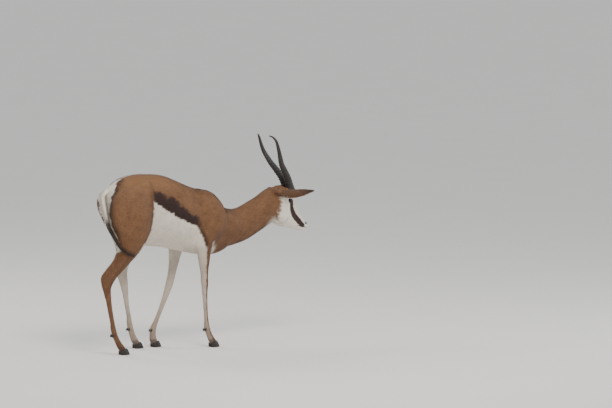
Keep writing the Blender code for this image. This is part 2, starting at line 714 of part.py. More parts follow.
def horn(side, word):
    """One ringed horn, oval in section, leaning back and hooked in at its tip."""
    rows = [(HORN_BASE[0] - lean, spread, HORN_BASE[1] + rise) for rise, lean, spread in HORN_LINE]
    rings_per_ridge, plain = 2, 10
    count = HORN_RINGS * rings_per_ridge + plain
    line = smooth_line(rows, count)
    sides, verts = 10, []
    for k, (x, y, z) in enumerate(line):
        share = k / (count - 1)
        ahead, behind = line[min(k + 1, count - 1)], line[max(k - 1, 0)]
        tangent = Vector(ahead - behind).normalized()
        across = Vector((0, 1, 0)) - tangent * tangent.y
        across.normalize()
        fore = tangent.cross(across)
        radius = HORN_BASE_RADIUS * (1 - share) ** 0.62 * (1 - 0.08 * math.sin(math.pi * share)) + 0.0012
        ring_share = k % rings_per_ridge
        ringed = share < HORN_LENGTH_RINGED
        ridge = 1 + (0.085 if ring_share == 1 else -0.045) * (1 - 0.4 * share) if ringed else 1.0
        for i in range(sides):
            turn = 2 * math.pi * i / sides
            front = math.cos(turn)
            swell = ridge if front > -0.3 else 1 + (ridge - 1) * 0.5
            point = Vector((x, y, z)) + fore * radius * swell * front + across * radius * 0.80 * swell * math.sin(turn)
            verts.append((point.x, side * point.y, point.z))
    return object_from(f"horn_{word}", verts, tube_faces(count, sides), "horn")


def ear(side, word):
    """A long, pointed ear: a rolled sheet that opens down and forward."""
    root, tip = Vector(EAR_ROOT), Vector(EAR_TIP)
    axis = (tip - root).normalized()
    level = Vector((-axis.y, axis.x, 0)).normalized()
    opening = (level * 0.70 + Vector((0, 0, -1)) * 0.71).normalized()
    opening = (opening - axis * opening.dot(axis)).normalized()
    width_way = axis.cross(opening).normalized()
    stations = smooth_line([(i / (len(EAR_WIDTHS) - 1), w, 0) for i, w in enumerate(EAR_WIDTHS)], 12)
    across, outer, inner = 9, [], []
    length = (tip - root).length
    for share, half, _ in stations:
        share = min(max(share, 0.0), 1.0)
        arc = math.radians(EAR_ARC_ROOT + (EAR_ARC_TIP - EAR_ARC_ROOT) * share**0.55)
        widest = math.sin(min(arc / 2, math.pi / 2))
        radius = max(half, 0.001) / widest
        droop = 0.010 * math.sin(math.pi * share) - 0.004 * share
        middle = root + axis * length * share - Vector((0, 0, 1)) * droop
        wall = EAR_WALL * (1 - 0.45 * share)
        for i in range(across + 1):
            bend = arc * (i / across - 0.5)
            spoke = -opening * math.cos(bend) + width_way * math.sin(bend)
            pull = opening * radius * 0.55
            outer.append(middle + pull + spoke * radius)
            inner.append(middle + pull + spoke * max(radius - wall, radius * 0.25))
    n, rows = across + 1, len(stations)
    verts = outer + inner
    verts = [(v.x, -side * v.y, v.z) for v in verts]
    shift, faces = rows * n, []
    for r in range(rows - 1):
        for i in range(across):
            a, b, c, d = r * n + i, r * n + i + 1, (r + 1) * n + i + 1, (r + 1) * n + i
            faces += [[a, b, c], [a, c, d], [shift + a, shift + c, shift + b], [shift + a, shift + d, shift + c]]
        for i in (0, across):
            a, d = r * n + i, (r + 1) * n + i
            faces.append([a, d, shift + d, shift + a])
    for i in range(across):
        last = (rows - 1) * n
        faces.append([i, i + 1, shift + i + 1, shift + i])
        faces.append([last + i, last + i + 1, shift + last + i + 1, shift + last + i])
    return object_from(f"ear_{word}", verts, faces, "fawn")


def lock(points, width, thick, lie):
    """A flat, tapered lock of hair through the points."""
    line = smooth_line(points, 5)
    verts, sides = [], 4
    for k, point in enumerate(line):
        share = k / (len(line) - 1)
        tangent = Vector(line[min(k + 1, len(line) - 1)] - line[max(k - 1, 0)]).normalized()
        across = lie.cross(tangent).normalized()
        flat = tangent.cross(across)
        swell = (0.75 + 0.9 * share) * (1 - share**3) + 0.06
        for a, b in ((1, 0), (0, 1), (-1, 0), (0, -1)):
            verts.append(Vector(point) + across * a * width * swell + flat * b * thick * swell)
    return object_from("lock", verts, tube_faces(len(line), sides), "tuft")


def united(obj, pieces):
    """One Boolean union of obj with a collection of closed meshes."""
    group = bpy.data.collections.new("pieces")
    bpy.context.scene.collection.children.link(group)
    for piece in pieces:
        bpy.context.scene.collection.objects.unlink(piece)
        group.objects.link(piece)
    step = obj.modifiers.new("join", "BOOLEAN")
    step.operation, step.solver = "UNION", "EXACT"
    step.operand_type, step.collection = "COLLECTION", group
    bake(obj)
    drop(*pieces)
    bpy.data.collections.remove(group)
    return largest(obj)


def tail():
    """The tail's flesh, and the tuft's locks fused along its last part."""
    line = smooth_line(TAIL_LINE, 60)
    flesh_end = int(len(line) * TAIL_FLESH_SHARE)
    verts, sides = [], 10
    rows = line[:flesh_end:2]
    for k, point in enumerate(rows):
        share = k / (len(rows) - 1)
        tangent = Vector(rows[min(k + 1, len(rows) - 1)] - rows[max(k - 1, 0)]).normalized()
        across = Vector((0, 1, 0)) if share < 0.5 else Vector((0.5, 1, 0)).normalized()
        across = (across - tangent * tangent.dot(across)).normalized()
        deep = tangent.cross(across)
        half = (0.0165 * (1 - share) + 0.0068 * share) * (1 if k < len(rows) - 1 else 0.5)
        for i in range(sides):
            turn = 2 * math.pi * i / sides
            verts.append(Vector(point) + across * half * math.cos(turn) + deep * half * 0.62 * math.sin(turn))
    made = object_from("tail", verts, tube_faces(len(rows), sides), "cream")
    rng = np.random.default_rng(7)
    locks = []
    for i in range(TUFT_LOCKS):
        share = i / (TUFT_LOCKS - 1)
        start = 0.40 + 0.20 * share
        end = min(1.0, start + 0.28 + 0.16 * share)
        picks = line[[int((start + (end - start) * t) * (len(line) - 1)) for t in (0, 0.35, 0.7, 1.0)]]
        away = Vector(rng.normal(0, 1, 3)).normalized()
        out = Vector((-0.55, -0.83, 0.1))
        points = [Vector(p) + (away * 0.0045 + out * 0.0020) * t for p, t in zip(picks, (0.2, 0.9, 1.1, 1.5))]
        locks.append(lock(points, 0.0058, 0.0025, out))
    return united(made, locks)


def dewclaws(foot, leg):
    """Two small horn nubs behind the fetlock, fused to the leg."""
    rib = LEG_RIBS[foot][-4]
    (_, _), (bx, bz), y, _ = rib
    side = LEG_CUTS[foot][0]
    nubs = []
    for away in (-1, 1):
        turn = Matrix.Rotation(math.radians(35), 4, "Y")
        nubs.append(
            ball("nub", (bx + 0.0030, side * (y + away * 0.0080), bz - 0.010), (0.0050, 0.0044, 0.0085), "hoof", 1, turn)
        )
    return united(leg, nubs)


def centred():
    """Sets the origin below the middle of the whole model, on the floor."""
    low, high = np.full(3, 9.0), np.full(3, -9.0)
    for obj in bpy.context.scene.collection.objects:
        co = np.array([v.co for v in obj.data.vertices])
        low, high = np.minimum(low, co.min(0)), np.maximum(high, co.max(0))
    shift = Vector((-(low[0] + high[0]) / 2, -(low[1] + high[1]) / 2, -low[2]))
    for obj in bpy.context.scene.collection.objects:
        obj.data.transform(Matrix.Translation(shift))
    return shift


def main():
    clear_scene()
    body, head = body_and_head()
    spare = plane_split(body, "spare", THROAT_POINT, THROAT_NORMAL)
    head_kept = plane_split(head, "head_kept", THROAT_POINT, THROAT_NORMAL)
    drop(spare, head)
    head = head_kept
    head.name = "head"
    neck = plane_split(body, "neck", NECK_POINT, NECK_NORMAL)
    torso = body
    torso.name = "torso"
    legs = part_legs(torso)
    for foot, leg in legs.items():
        point, normal = coronet(foot)
        keep_side(leg, point, -normal)
        dewclaws(foot, leg)
        claw(foot, "outer")
        claw(foot, "inner")
    finish_head(head)
    skull, nape = swollen(head, GAP), swollen(neck, GAP)
    for side, word in ((-1, "right"), (1, "left")):
        cut(horn(side, word), skull, "DIFFERENCE")
        pinna = ear(side, word)
        cut(pinna, skull, "DIFFERENCE")
        cut(pinna, nape, "DIFFERENCE")
    drop(skull, nape)
    hanging = tail()
    for root in (torso, legs["hind_right"]):
        near = swollen(root, GAP)
        cut(hanging, near, "DIFFERENCE")
        drop(near)
    for obj in bpy.context.scene.collection.objects:
        welded(obj)
        obj.data.shade_smooth()
    shift = centred()
    print("origin shift", tuple(round(v, 5) for v in shift), "neck faces", len(neck.data.polygons))


main()
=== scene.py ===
# %% [markdown]
# # A springbok ram, life size
# The animal is a museum model: a solid body under a short, flat coat, with ringed horns,
# cupped ears and cloven hooves. This notebook dresses the plain solids of the frame.
# One skin covers the flesh without a seam. Over it lie thin tufts of hair, and eyes,
# horns, hooves, ears and tail are pieces of their own.

# %% Load the frame
import json
import math
from types import SimpleNamespace

import bmesh
import bpy
import numpy as np
from mathutils import Matrix, Vector
from mathutils.bvhtree import BVHTree

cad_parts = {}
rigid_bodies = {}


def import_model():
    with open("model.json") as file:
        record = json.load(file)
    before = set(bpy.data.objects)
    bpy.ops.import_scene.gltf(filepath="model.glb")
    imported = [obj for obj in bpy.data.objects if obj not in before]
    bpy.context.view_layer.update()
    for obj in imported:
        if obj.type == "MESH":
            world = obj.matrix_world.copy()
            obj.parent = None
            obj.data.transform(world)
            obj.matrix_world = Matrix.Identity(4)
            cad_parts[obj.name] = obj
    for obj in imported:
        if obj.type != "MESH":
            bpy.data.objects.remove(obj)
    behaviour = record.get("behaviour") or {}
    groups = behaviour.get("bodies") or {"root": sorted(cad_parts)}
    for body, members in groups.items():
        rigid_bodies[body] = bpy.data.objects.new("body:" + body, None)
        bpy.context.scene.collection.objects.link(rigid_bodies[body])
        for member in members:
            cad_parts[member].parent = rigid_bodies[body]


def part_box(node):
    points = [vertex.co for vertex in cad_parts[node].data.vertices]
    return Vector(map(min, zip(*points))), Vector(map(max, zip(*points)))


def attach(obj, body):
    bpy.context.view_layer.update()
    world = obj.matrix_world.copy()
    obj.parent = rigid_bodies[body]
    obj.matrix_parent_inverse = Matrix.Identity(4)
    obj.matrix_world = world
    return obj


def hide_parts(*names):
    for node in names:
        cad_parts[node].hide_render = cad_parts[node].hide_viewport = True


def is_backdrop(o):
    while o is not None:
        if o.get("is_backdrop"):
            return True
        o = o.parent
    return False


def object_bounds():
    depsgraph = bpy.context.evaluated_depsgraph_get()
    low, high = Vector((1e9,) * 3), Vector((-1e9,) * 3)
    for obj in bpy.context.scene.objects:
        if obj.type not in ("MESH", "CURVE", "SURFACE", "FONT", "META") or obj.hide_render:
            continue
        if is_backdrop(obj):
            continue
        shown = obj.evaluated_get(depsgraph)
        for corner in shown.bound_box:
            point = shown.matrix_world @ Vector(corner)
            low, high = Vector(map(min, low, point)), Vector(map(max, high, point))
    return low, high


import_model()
solid_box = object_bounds()

# %% [markdown]
# Every number below is in metres in the animal's own drawing: X runs forward from under
# the belly, Y to its left and Z up from the ground. The frame is centred on its own box,
# so the left eye, whose place is known in both, gives the shift between the two.

# %% Where the drawing lies in the frame
EYE_CENTRE = Vector((0.699, 0.0370, 0.669))
EYE_RADIUS = 0.0150
low, high = (Vector(corner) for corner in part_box("eye_left"))
SHIFT = (low + high) / 2 - EYE_CENTRE
print("shift of the drawing", [round(v, 5) for v in SHIFT])

# %% [markdown]
# Colours are written as sRGB hex values, as a paint chart gives them. Blender's shaders
# work in linear light, so one function turns them. A second small function adds a node
# to a material with its settings and its links, and serves every material below.

# %% Colour and node helpers
def linear(hex_colour):
    parts = [int(hex_colour[i : i + 2], 16) / 255 for i in (1, 3, 5)]
    return [p / 12.92 if p <= 0.04045 else ((p + 0.055) / 1.055) ** 2.4 for p in parts] + [1.0]


def add_node(material, kind, settings=(), links=()):
    """Adds one node: settings name its fields or sockets, links bring in other outputs."""
    node = material.node_tree.nodes.new("ShaderNode" + kind)
    for name, value in dict(settings).items():
        if isinstance(name, str) and name[0].islower() and hasattr(node, name):
            setattr(node, name, value)
        else:
            node.inputs[name].default_value = value
    for name, output in dict(links).items():
        material.node_tree.links.new(output, node.inputs[name])
    return node


def finish_named(name, settings):
    """A material with its main shader, whose plain values are set on its own sockets."""
    material = bpy.data.materials.new(name)
    material.use_nodes = True
    shader = material.node_tree.nodes["Principled BSDF"]
    for socket, value in settings.items():
        shader.inputs[socket].default_value = value
    return material, shader


def join(material, output, shader, socket):
    material.node_tree.links.new(output, shader.inputs[socket])


# %% [markdown]
# A sculptor starts from ribs: upright slices of the body, each with its top, its bottom,
# its half width and the level at which it is widest. A loft through the ribs is smooth
# and keeps the animal's true outline. The legs' slices lie level, from front to back.

# %% Ribs of trunk, neck and head: (top x, z), (bottom x, z), y, half width, widest level
TRUNK = [
    ((-0.298, 0.760), (-0.298, 0.660), 0.0, 0.040, 0.50),
    ((-0.272, 0.797), (-0.268, 0.585), 0.0, 0.072, 0.58),
    ((-0.220, 0.829), (-0.215, 0.525), 0.0, 0.092, 0.60),
    ((-0.150, 0.844), (-0.150, 0.505), 0.0, 0.098, 0.58),
    ((-0.080, 0.843), (-0.080, 0.497), 0.0, 0.101, 0.52),
    ((0.000, 0.834), (0.000, 0.487), 0.0, 0.112, 0.45),
    ((0.070, 0.808), (0.070, 0.470), 0.0, 0.117, 0.43),
    ((0.135, 0.779), (0.135, 0.454), 0.0, 0.113, 0.44),
    ((0.195, 0.758), (0.195, 0.441), 0.0, 0.099, 0.46),
    ((0.248, 0.745), (0.255, 0.434), 0.0, 0.083, 0.46),
    ((0.296, 0.699), (0.310, 0.440), 0.0, 0.074, 0.46),
    ((0.345, 0.649), (0.358, 0.462), 0.0, 0.062, 0.45),
    ((0.385, 0.610), (0.392, 0.500), 0.0, 0.040, 0.50),
]
NECK = [
    ((0.235, 0.734), (0.290, 0.450), 0.0, 0.066, 0.50),
    ((0.300, 0.693), (0.352, 0.463), 0.0, 0.070, 0.48),
    ((0.352, 0.659), (0.410, 0.474), 0.0, 0.066, 0.46),
    ((0.410, 0.650), (0.470, 0.491), 0.0, 0.061, 0.47),
    ((0.470, 0.670), (0.522, 0.515), 0.0, 0.056, 0.50),
    ((0.532, 0.698), (0.572, 0.541), 0.0, 0.052, 0.53),
    ((0.590, 0.732), (0.612, 0.562), 0.0, 0.050, 0.55),
    ((0.640, 0.742), (0.648, 0.575), 0.0, 0.044, 0.56),
]
HEAD = [
    ((0.612, 0.728), (0.618, 0.575), 0.0, 0.040, 0.60),
    ((0.655, 0.746), (0.645, 0.553), 0.0, 0.050, 0.62),
    ((0.697, 0.732), (0.675, 0.543), 0.0, 0.049, 0.66),
    ((0.728, 0.695), (0.700, 0.538), 0.0, 0.043, 0.68),
    ((0.751, 0.655), (0.725, 0.532), 0.0, 0.0345, 0.64),
    ((0.771, 0.620), (0.748, 0.527), 0.0, 0.0275, 0.60),
    ((0.790, 0.588), (0.769, 0.521), 0.0, 0.0240, 0.57),
    ((0.806, 0.563), (0.787, 0.517), 0.0, 0.0225, 0.57),
    ((0.812, 0.549), (0.799, 0.519), 0.0, 0.0165, 0.55),
]

# %% Ribs of the hind legs: (front x, z), (back x, z), distance from the midline, half width
HIND_RIGHT = [
    ((-0.135, 0.810), (-0.268, 0.776), 0.050, 0.040),
    ((-0.095, 0.735), (-0.310, 0.735), 0.074, 0.048),
    ((-0.092, 0.660), (-0.324, 0.675), 0.083, 0.056),
    ((-0.103, 0.590), (-0.317, 0.608), 0.087, 0.055),
    ((-0.133, 0.530), (-0.296, 0.548), 0.090, 0.047),
    ((-0.166, 0.484), (-0.290, 0.500), 0.090, 0.036),
    ((-0.212, 0.440), (-0.314, 0.452), 0.087, 0.0275),
    ((-0.250, 0.402), (-0.347, 0.414), 0.084, 0.0225),
    ((-0.287, 0.366), (-0.374, 0.378), 0.081, 0.0200),
    ((-0.314, 0.326), (-0.370, 0.338), 0.080, 0.0180),
    ((-0.316, 0.290), (-0.356, 0.292), 0.080, 0.0145),
    ((-0.311, 0.235), (-0.342, 0.235), 0.080, 0.0120),
    ((-0.299, 0.164), (-0.327, 0.166), 0.080, 0.0120),
    ((-0.284, 0.100), (-0.316, 0.104), 0.080, 0.0160),
    ((-0.265, 0.064), (-0.297, 0.060), 0.080, 0.0150),
    ((-0.246, 0.040), (-0.284, 0.034), 0.080, 0.0175),
    ((-0.240, 0.028), (-0.281, 0.024), 0.080, 0.0150),
]
HIND_LEFT = [
    ((-0.130, 0.810), (-0.264, 0.776), 0.050, 0.040),
    ((-0.078, 0.735), (-0.296, 0.736), 0.074, 0.048),
    ((-0.062, 0.660), (-0.295, 0.688), 0.083, 0.056),
    ((-0.052, 0.596), (-0.268, 0.630), 0.086, 0.055),
    ((-0.060, 0.540), (-0.236, 0.575), 0.086, 0.047),
    ((-0.080, 0.490), (-0.208, 0.520), 0.084, 0.036),
    ((-0.105, 0.442), (-0.194, 0.462), 0.081, 0.0275),
    ((-0.124, 0.405), (-0.194, 0.416), 0.079, 0.0225),
    ((-0.138, 0.368), (-0.199, 0.374), 0.077, 0.0200),
    ((-0.135, 0.328), (-0.188, 0.338), 0.076, 0.0180),
    ((-0.134, 0.285), (-0.172, 0.288), 0.075, 0.0145),
    ((-0.130, 0.222), (-0.159, 0.222), 0.075, 0.0120),
    ((-0.120, 0.163), (-0.147, 0.163), 0.075, 0.0120),
    ((-0.108, 0.102), (-0.139, 0.104), 0.075, 0.0160),
    ((-0.095, 0.064), (-0.127, 0.060), 0.075, 0.0150),
    ((-0.080, 0.040), (-0.118, 0.034), 0.075, 0.0175),
    ((-0.075, 0.028), (-0.115, 0.024), 0.075, 0.0150),
]

# %% Ribs of the forelegs
FORE_RIGHT = [
    ((0.262, 0.742), (0.196, 0.748), 0.040, 0.026),
    ((0.302, 0.690), (0.165, 0.700), 0.062, 0.038),
    ((0.330, 0.628), (0.146, 0.640), 0.075, 0.042),
    ((0.322, 0.570), (0.136, 0.582), 0.080, 0.040),
    ((0.268, 0.520), (0.130, 0.535), 0.082, 0.034),
    ((0.237, 0.468), (0.150, 0.478), 0.081, 0.0270),
    ((0.224, 0.405), (0.165, 0.408), 0.079, 0.0210),
    ((0.218, 0.350), (0.176, 0.352), 0.077, 0.0175),
    ((0.219, 0.308), (0.178, 0.312), 0.076, 0.0180),
    ((0.216, 0.267), (0.184, 0.269), 0.075, 0.0140),
    ((0.216, 0.204), (0.190, 0.204), 0.075, 0.0115),
    ((0.221, 0.134), (0.195, 0.136), 0.075, 0.0115),
    ((0.228, 0.092), (0.196, 0.096), 0.075, 0.0155),
    ((0.242, 0.060), (0.209, 0.056), 0.075, 0.0145),
    ((0.256, 0.040), (0.218, 0.034), 0.075, 0.0170),
    ((0.261, 0.028), (0.220, 0.024), 0.075, 0.0145),
]
FORE_LEFT = [
    ((0.262, 0.742), (0.196, 0.748), 0.040, 0.026),
    ((0.300, 0.690), (0.160, 0.700), 0.062, 0.038),
    ((0.318, 0.628), (0.136, 0.640), 0.075, 0.042),
    ((0.295, 0.570), (0.110, 0.582), 0.080, 0.040),
    ((0.228, 0.518), (0.092, 0.530), 0.081, 0.034),
    ((0.172, 0.462), (0.092, 0.468), 0.078, 0.0270),
    ((0.146, 0.398), (0.090, 0.402), 0.075, 0.0210),
    ((0.127, 0.342), (0.083, 0.350), 0.073, 0.0175),
    ((0.114, 0.298), (0.072, 0.308), 0.072, 0.0180),
    ((0.088, 0.243), (0.055, 0.252), 0.071, 0.0140),
    ((0.056, 0.178), (0.030, 0.186), 0.070, 0.0115),
    ((0.030, 0.124), (0.005, 0.132), 0.070, 0.0115),
    ((0.016, 0.088), (-0.018, 0.092), 0.070, 0.0155),
    ((0.014, 0.058), (-0.021, 0.056), 0.070, 0.0145),
    ((0.018, 0.040), (-0.021, 0.034), 0.070, 0.0170),
    ((0.020, 0.028), (-0.021, 0.024), 0.070, 0.0145),
]

LEGS = {
    "hind_right": (-1, HIND_RIGHT),
    "hind_left": (1, HIND_LEFT),
    "front_right": (-1, FORE_RIGHT),
    "front_left": (1, FORE_LEFT),
}

# %% Muscle and bone that stand out of the lofts
# Centre, radii and pitch in degrees. Each is set on both sides of the body.
FORMS = [
    ((-0.128, 0.058, 0.793), (0.042, 0.024, 0.024), -20),  # hip bone
    ((-0.284, 0.048, 0.735), (0.026, 0.026, 0.030), 0),  # seat bone
    ((0.222, 0.030, 0.738), (0.036, 0.017, 0.020), 5),  # top of the shoulder blade
    ((0.335, 0.036, 0.532), (0.040, 0.030, 0.060), 20),  # breast
    ((0.296, 0.062, 0.606), (0.032, 0.025, 0.040), 0),  # point of the shoulder
    ((0.700, 0.034, 0.672), (0.023, 0.0155, 0.021), 0),  # eye socket rim
    ((0.668, 0.037, 0.604), (0.032, 0.0145, 0.042), 30),  # cheek
    ((0.711, 0.019, 0.717), (0.025, 0.018, 0.019), 50),  # horn seat
    ((0.632, 0.034, 0.716), (0.022, 0.018, 0.018), 0),  # ear seat
    ((0.803, 0.0105, 0.549), (0.014, 0.0105, 0.012), 50),  # nostril wing
    ((0.797, 0.0125, 0.539), (0.019, 0.0110, 0.0065), 12),  # upper lip
    ((0.787, 0.0080, 0.5235), (0.019, 0.0095, 0.0065), 12),  # lower lip
]


# %% [markdown]
# A rib loft needs two tools: a smooth curve through the ribs, and a tube of faces round
# them. Muscles and bones that show under the skin, such as the hip bone and the cheek,
# are added as ellipsoids that sink into the lofts.

# %% A loft through ribs
def smooth_line(points, count):
    """A Catmull-Rom curve through the points, evenly spaced along its length."""
    rows = np.array(points, float)
    ends = np.vstack([2 * rows[0] - rows[1], rows, 2 * rows[-1] - rows[-2]])
    dense = []
    for i in range(len(rows) - 1):
        a, b, c, d = ends[i : i + 4]
        t = np.linspace(0, 1, 24, endpoint=False)[:, None]
        bend = (2 * a - 5 * b + 4 * c - d) * t**2 + (3 * b - a - 3 * c + d) * t**3
        dense.append(0.5 * (2 * b + (c - a) * t + bend))
    dense = np.vstack(dense + [rows[-1:]])
    steps = np.linalg.norm(np.diff(dense[:, :3], axis=0), axis=1)
    along = np.concatenate([[0], np.cumsum(steps)])
    wanted = np.linspace(0, along[-1], count)
    return np.array([np.interp(wanted, along, column) for column in dense.T]).T


def tube_faces(rings, sides):
    """Faces of a loft of rings, with a cap at each end."""
    faces = [list(range(sides))[::-1], [(rings - 1) * sides + i for i in range(sides)]]
    for r in range(rings - 1):
        for i in range(sides):
            j = (i + 1) % sides
            faces.append([r * sides + i, r * sides + j, (r + 1) * sides + j, (r + 1) * sides + i])
    return faces


def in_scene(name, data):
    """A new object of the scene that shows a mesh, a lamp or a camera."""
    made = bpy.data.objects.new(name, data)
    bpy.context.scene.collection.objects.link(made)
    return made


def mesh_object(name, verts, faces):
    mesh = bpy.data.meshes.new(name)
    mesh.from_pydata([tuple(v) for v in verts], [], faces)
    mesh.update()
    made = in_scene(name, mesh)
    work = bmesh.new()
    work.from_mesh(mesh)
    bmesh.ops.recalc_face_normals(work, faces=work.faces)
    work.to_mesh(mesh)
    work.free()
    mesh.shade_smooth()
    return made


def rib_loft(ribs, side=1, rings=70, sides=40):
    rows = []
    for rib in ribs:
        (tx, tz), (bx, bz), y, half = rib[:4]
        widest = rib[4] if len(rib) > 4 else 0.5
        rows.append([(tx + bx) / 2, y, (tz + bz) / 2, tx, tz, bx, bz, half, widest])
    verts = []
    turns = np.linspace(0, 2 * math.pi, sides, endpoint=False)
    for row in smooth_line(rows, rings):
        top = np.array([row[3], side * row[1], row[4]])
        bottom = np.array([row[5], side * row[1], row[6]])
        level = bottom + (top - bottom) * row[8]
        for turn in turns:
            rise = math.sin(turn)
            reach = (top - level) if rise > 0 else (level - bottom)
            verts.append(level + reach * rise + np.array([0, row[7] * math.cos(turn), 0]))
    return mesh_object("rib loft", verts, tube_faces(rings, sides))


# %% Lumps for muscle and bone
def lump(centre, radii, pitch, side):
    work = bmesh.new()
    bmesh.ops.create_icosphere(work, subdivisions=4, radius=1)
    place = Matrix.Translation((centre[0], side * centre[1], centre[2]))
    place = place @ Matrix.Rotation(math.radians(pitch), 4, "Y") @ Matrix.Diagonal((*radii, 1))
    bmesh.ops.transform(work, matrix=place, verts=work.verts)
    mesh = bpy.data.meshes.new("lump")
    work.to_mesh(mesh)
    work.free()
    return in_scene("lump", mesh)


# %% [markdown]
# Crossing lofts become one skin by a voxel remesh, as wet clay blends under the thumb.
# The voxel is 3.2 mm, finer than any fold of the trunk. Smoothing then eases the joins:
# much on the body, little on the head, whose bones lie close under the skin.

# %% Tools that read, measure and smooth a mesh
FAR = 9.0  # metres, more than any distance on the animal
WEIGHT_STEPS = 10  # a smoothing weight is written in tenths


def bake(obj):
    graph = bpy.context.evaluated_depsgraph_get()
    mesh = bpy.data.meshes.new_from_object(obj.evaluated_get(graph))
    obj.modifiers.clear()
    obj.data = mesh


def points_of(mesh):
    found = np.empty(len(mesh.vertices) * 3, np.float32)
    mesh.vertices.foreach_get("co", found)
    return found.reshape(-1, 3).astype(float)


def normals_of(mesh):
    found = np.empty(len(mesh.vertices) * 3, np.float32)
    mesh.vertex_normals.foreach_get("vector", found)
    return found.reshape(-1, 3).astype(float)


def ramp(values, start, end):
    """0 before start, 1 after end, with a soft step between."""
    t = np.clip((values - start) / (end - start), 0, 1)
    return t * t * (3 - 2 * t)


def path_distance(points, path, through=False):
    """How far each point, folded to one side, lies from a path, or right through from it."""
    folded = points.copy()
    folded[:, 1] = np.abs(folded[:, 1])
    if through:
        folded = folded[:, [0, 2]]
        path = [(x, z) for x, _, z in path]
    line = smooth_line([tuple(p) for p in path], 8) if len(path) > 2 else np.array(path, float)
    best = np.full(len(folded), FAR)
    for a, b in zip(line[:-1], line[1:]):
        step = b - a
        t = np.clip(((folded - a) @ step) / (step @ step), 0, 1)
        best = np.minimum(best, np.linalg.norm(folded - a - t[:, None] * step, axis=1))
    return best


def eased(obj, weights, passes):
    """Smooths a mesh where the weights say so."""
    group = obj.vertex_groups.new(name="ease")
    for step in range(1, WEIGHT_STEPS + 1):
        chosen = np.nonzero(np.round(weights * WEIGHT_STEPS) == step)[0]
        group.add([int(i) for i in chosen], step / WEIGHT_STEPS, "REPLACE")
    ease = obj.modifiers.new("ease", "SMOOTH")
    ease.factor = 0.5
    ease.iterations = passes
    ease.vertex_group = "ease"
    bake(obj)
    obj.vertex_groups.clear()


# %% One skin over the whole body
# Skin that rises round the roots of horns and ears, and fills the base of the neck
SEATS = [
    ((0.7215, 0.0196, 0.7035), (0.0238, 0.0198, 0.0175), 20),  # root of the horn
    ((0.638, 0.047, 0.7195), (0.018, 0.016, 0.016), 0),  # root of the ear
    ((0.345, 0.045, 0.585), (0.085, 0.036, 0.064), 20),  # between neck and shoulder
]
SKIN_VOXEL = 0.0032
BODY_EASING = 36  # passes of smoothing on the body
HEAD_EASING = 9
CORONET_FLARE = 1.14  # a foot widens where the hair ends at the horn

pieces = [rib_loft(TRUNK), rib_loft(NECK), rib_loft(HEAD, rings=90)]
for side, ribs in LEGS.values():
    (fx, fz), (bx, bz), y, half = ribs[-1]
    coronet = ((fx + 0.003, fz), (bx + 0.004, bz), y, half * CORONET_FLARE)
    foot_end = ((fx + 0.007, 0.015), (bx + 0.012, 0.009), y, half)
    pieces.append(rib_loft([*ribs[:-1], coronet, foot_end], side, rings=110, sides=32))
for centre, radii, pitch in FORMS + SEATS:
    pieces += [lump(centre, radii, pitch, side) for side in (-1, 1)]
work = bmesh.new()
for piece in pieces:
    work.from_mesh(piece.data)
    bpy.data.objects.remove(piece)
mesh = bpy.data.meshes.new("skin")
work.to_mesh(mesh)
work.free()
skin = in_scene("skin", mesh)
remesh = skin.modifiers.new("blend", "REMESH")
remesh.mode = "VOXEL"
remesh.voxel_size = SKIN_VOXEL
bake(skin)
on_head = ramp(points_of(skin.data)[:, 0], 0.57, 0.64)
eased(skin, 1 - on_head, BODY_EASING)
eased(skin, on_head, HEAD_EASING)
print("skin blended:", len(skin.data.polygons), "faces")

# %% [markdown]
# Where two lofts cross, the remesh leaves a crease that a live animal doesn't have. Each
# crease is a path, and a wide smoothing works near it and fades away from it, so the
# rest of the body keeps its form.

# %% Creases smoothed away
SHOULDER_FOLD = [
    (0.342, 0.0, 0.672), (0.340, 0.045, 0.650), (0.332, 0.072, 0.610),
    (0.310, 0.082, 0.570), (0.276, 0.088, 0.534), (0.245, 0.088, 0.505),
]
NECK_FOLD = [
    (0.410, 0.0, 0.672), (0.420, 0.050, 0.640), (0.415, 0.060, 0.590), (0.395, 0.062, 0.540),
]
THIGH_FOLD = [
    (-0.070, 0.090, 0.735), (-0.082, 0.100, 0.680), (-0.088, 0.105, 0.610), (-0.130, 0.100, 0.545),
]
WITHERS = [(0.170, 0.018, 0.762), (0.240, 0.030, 0.752), (0.300, 0.030, 0.722)]
HIP = [
    (-0.120, 0.060, 0.800), (-0.180, 0.062, 0.806), (-0.250, 0.060, 0.788), (-0.315, 0.055, 0.755),
]
EAR_BASE = [(0.615, 0.040, 0.708), (0.636, 0.050, 0.716), (0.655, 0.050, 0.712)]
# Path of the crease, reach of the smoothing in metres, and its passes
EASINGS = [
    (SHOULDER_FOLD, 0.048, 500),
    (NECK_FOLD, 0.045, 300),
    (THIGH_FOLD, 0.034, 40),
    (WITHERS, 0.034, 110),
    (HIP, 0.028, 60),
    (EAR_BASE, 0.020, 14),
]
for fold, reach, passes in EASINGS:
    close_by = np.exp(-((path_distance(points_of(skin.data), fold) / reach) ** 2))
    eased(skin, close_by, passes)
print("creases smoothed:", len(EASINGS))

# %% [markdown]
# The head carries the finest forms, so its faces are cut in two each way, and once more
# round the eyes and on the muzzle, where lids and lips are only a millimetre or two thick.

# %% Finer faces on the head
# Where the finer faces start, and just inside that, where their seam is smoothed
FACE_FINER, FACE_EASED = 0.615, 0.620
MUZZLE_FINER, MUZZLE_EASED = 0.752, 0.756
EYE_FINER, EYE_EASED = 0.034, 0.032


def refined(obj, chosen):
    """Cuts the faces of the chosen points in two each way."""
    work = bmesh.new()
    work.from_mesh(obj.data)
    work.verts.ensure_lookup_table()
    edges = [e for e in work.edges if chosen[e.verts[0].index] and chosen[e.verts[1].index]]
    bmesh.ops.subdivide_edges(work, edges=edges, cuts=1, use_grid_fill=True)
    work.to_mesh(obj.data)
    work.free()


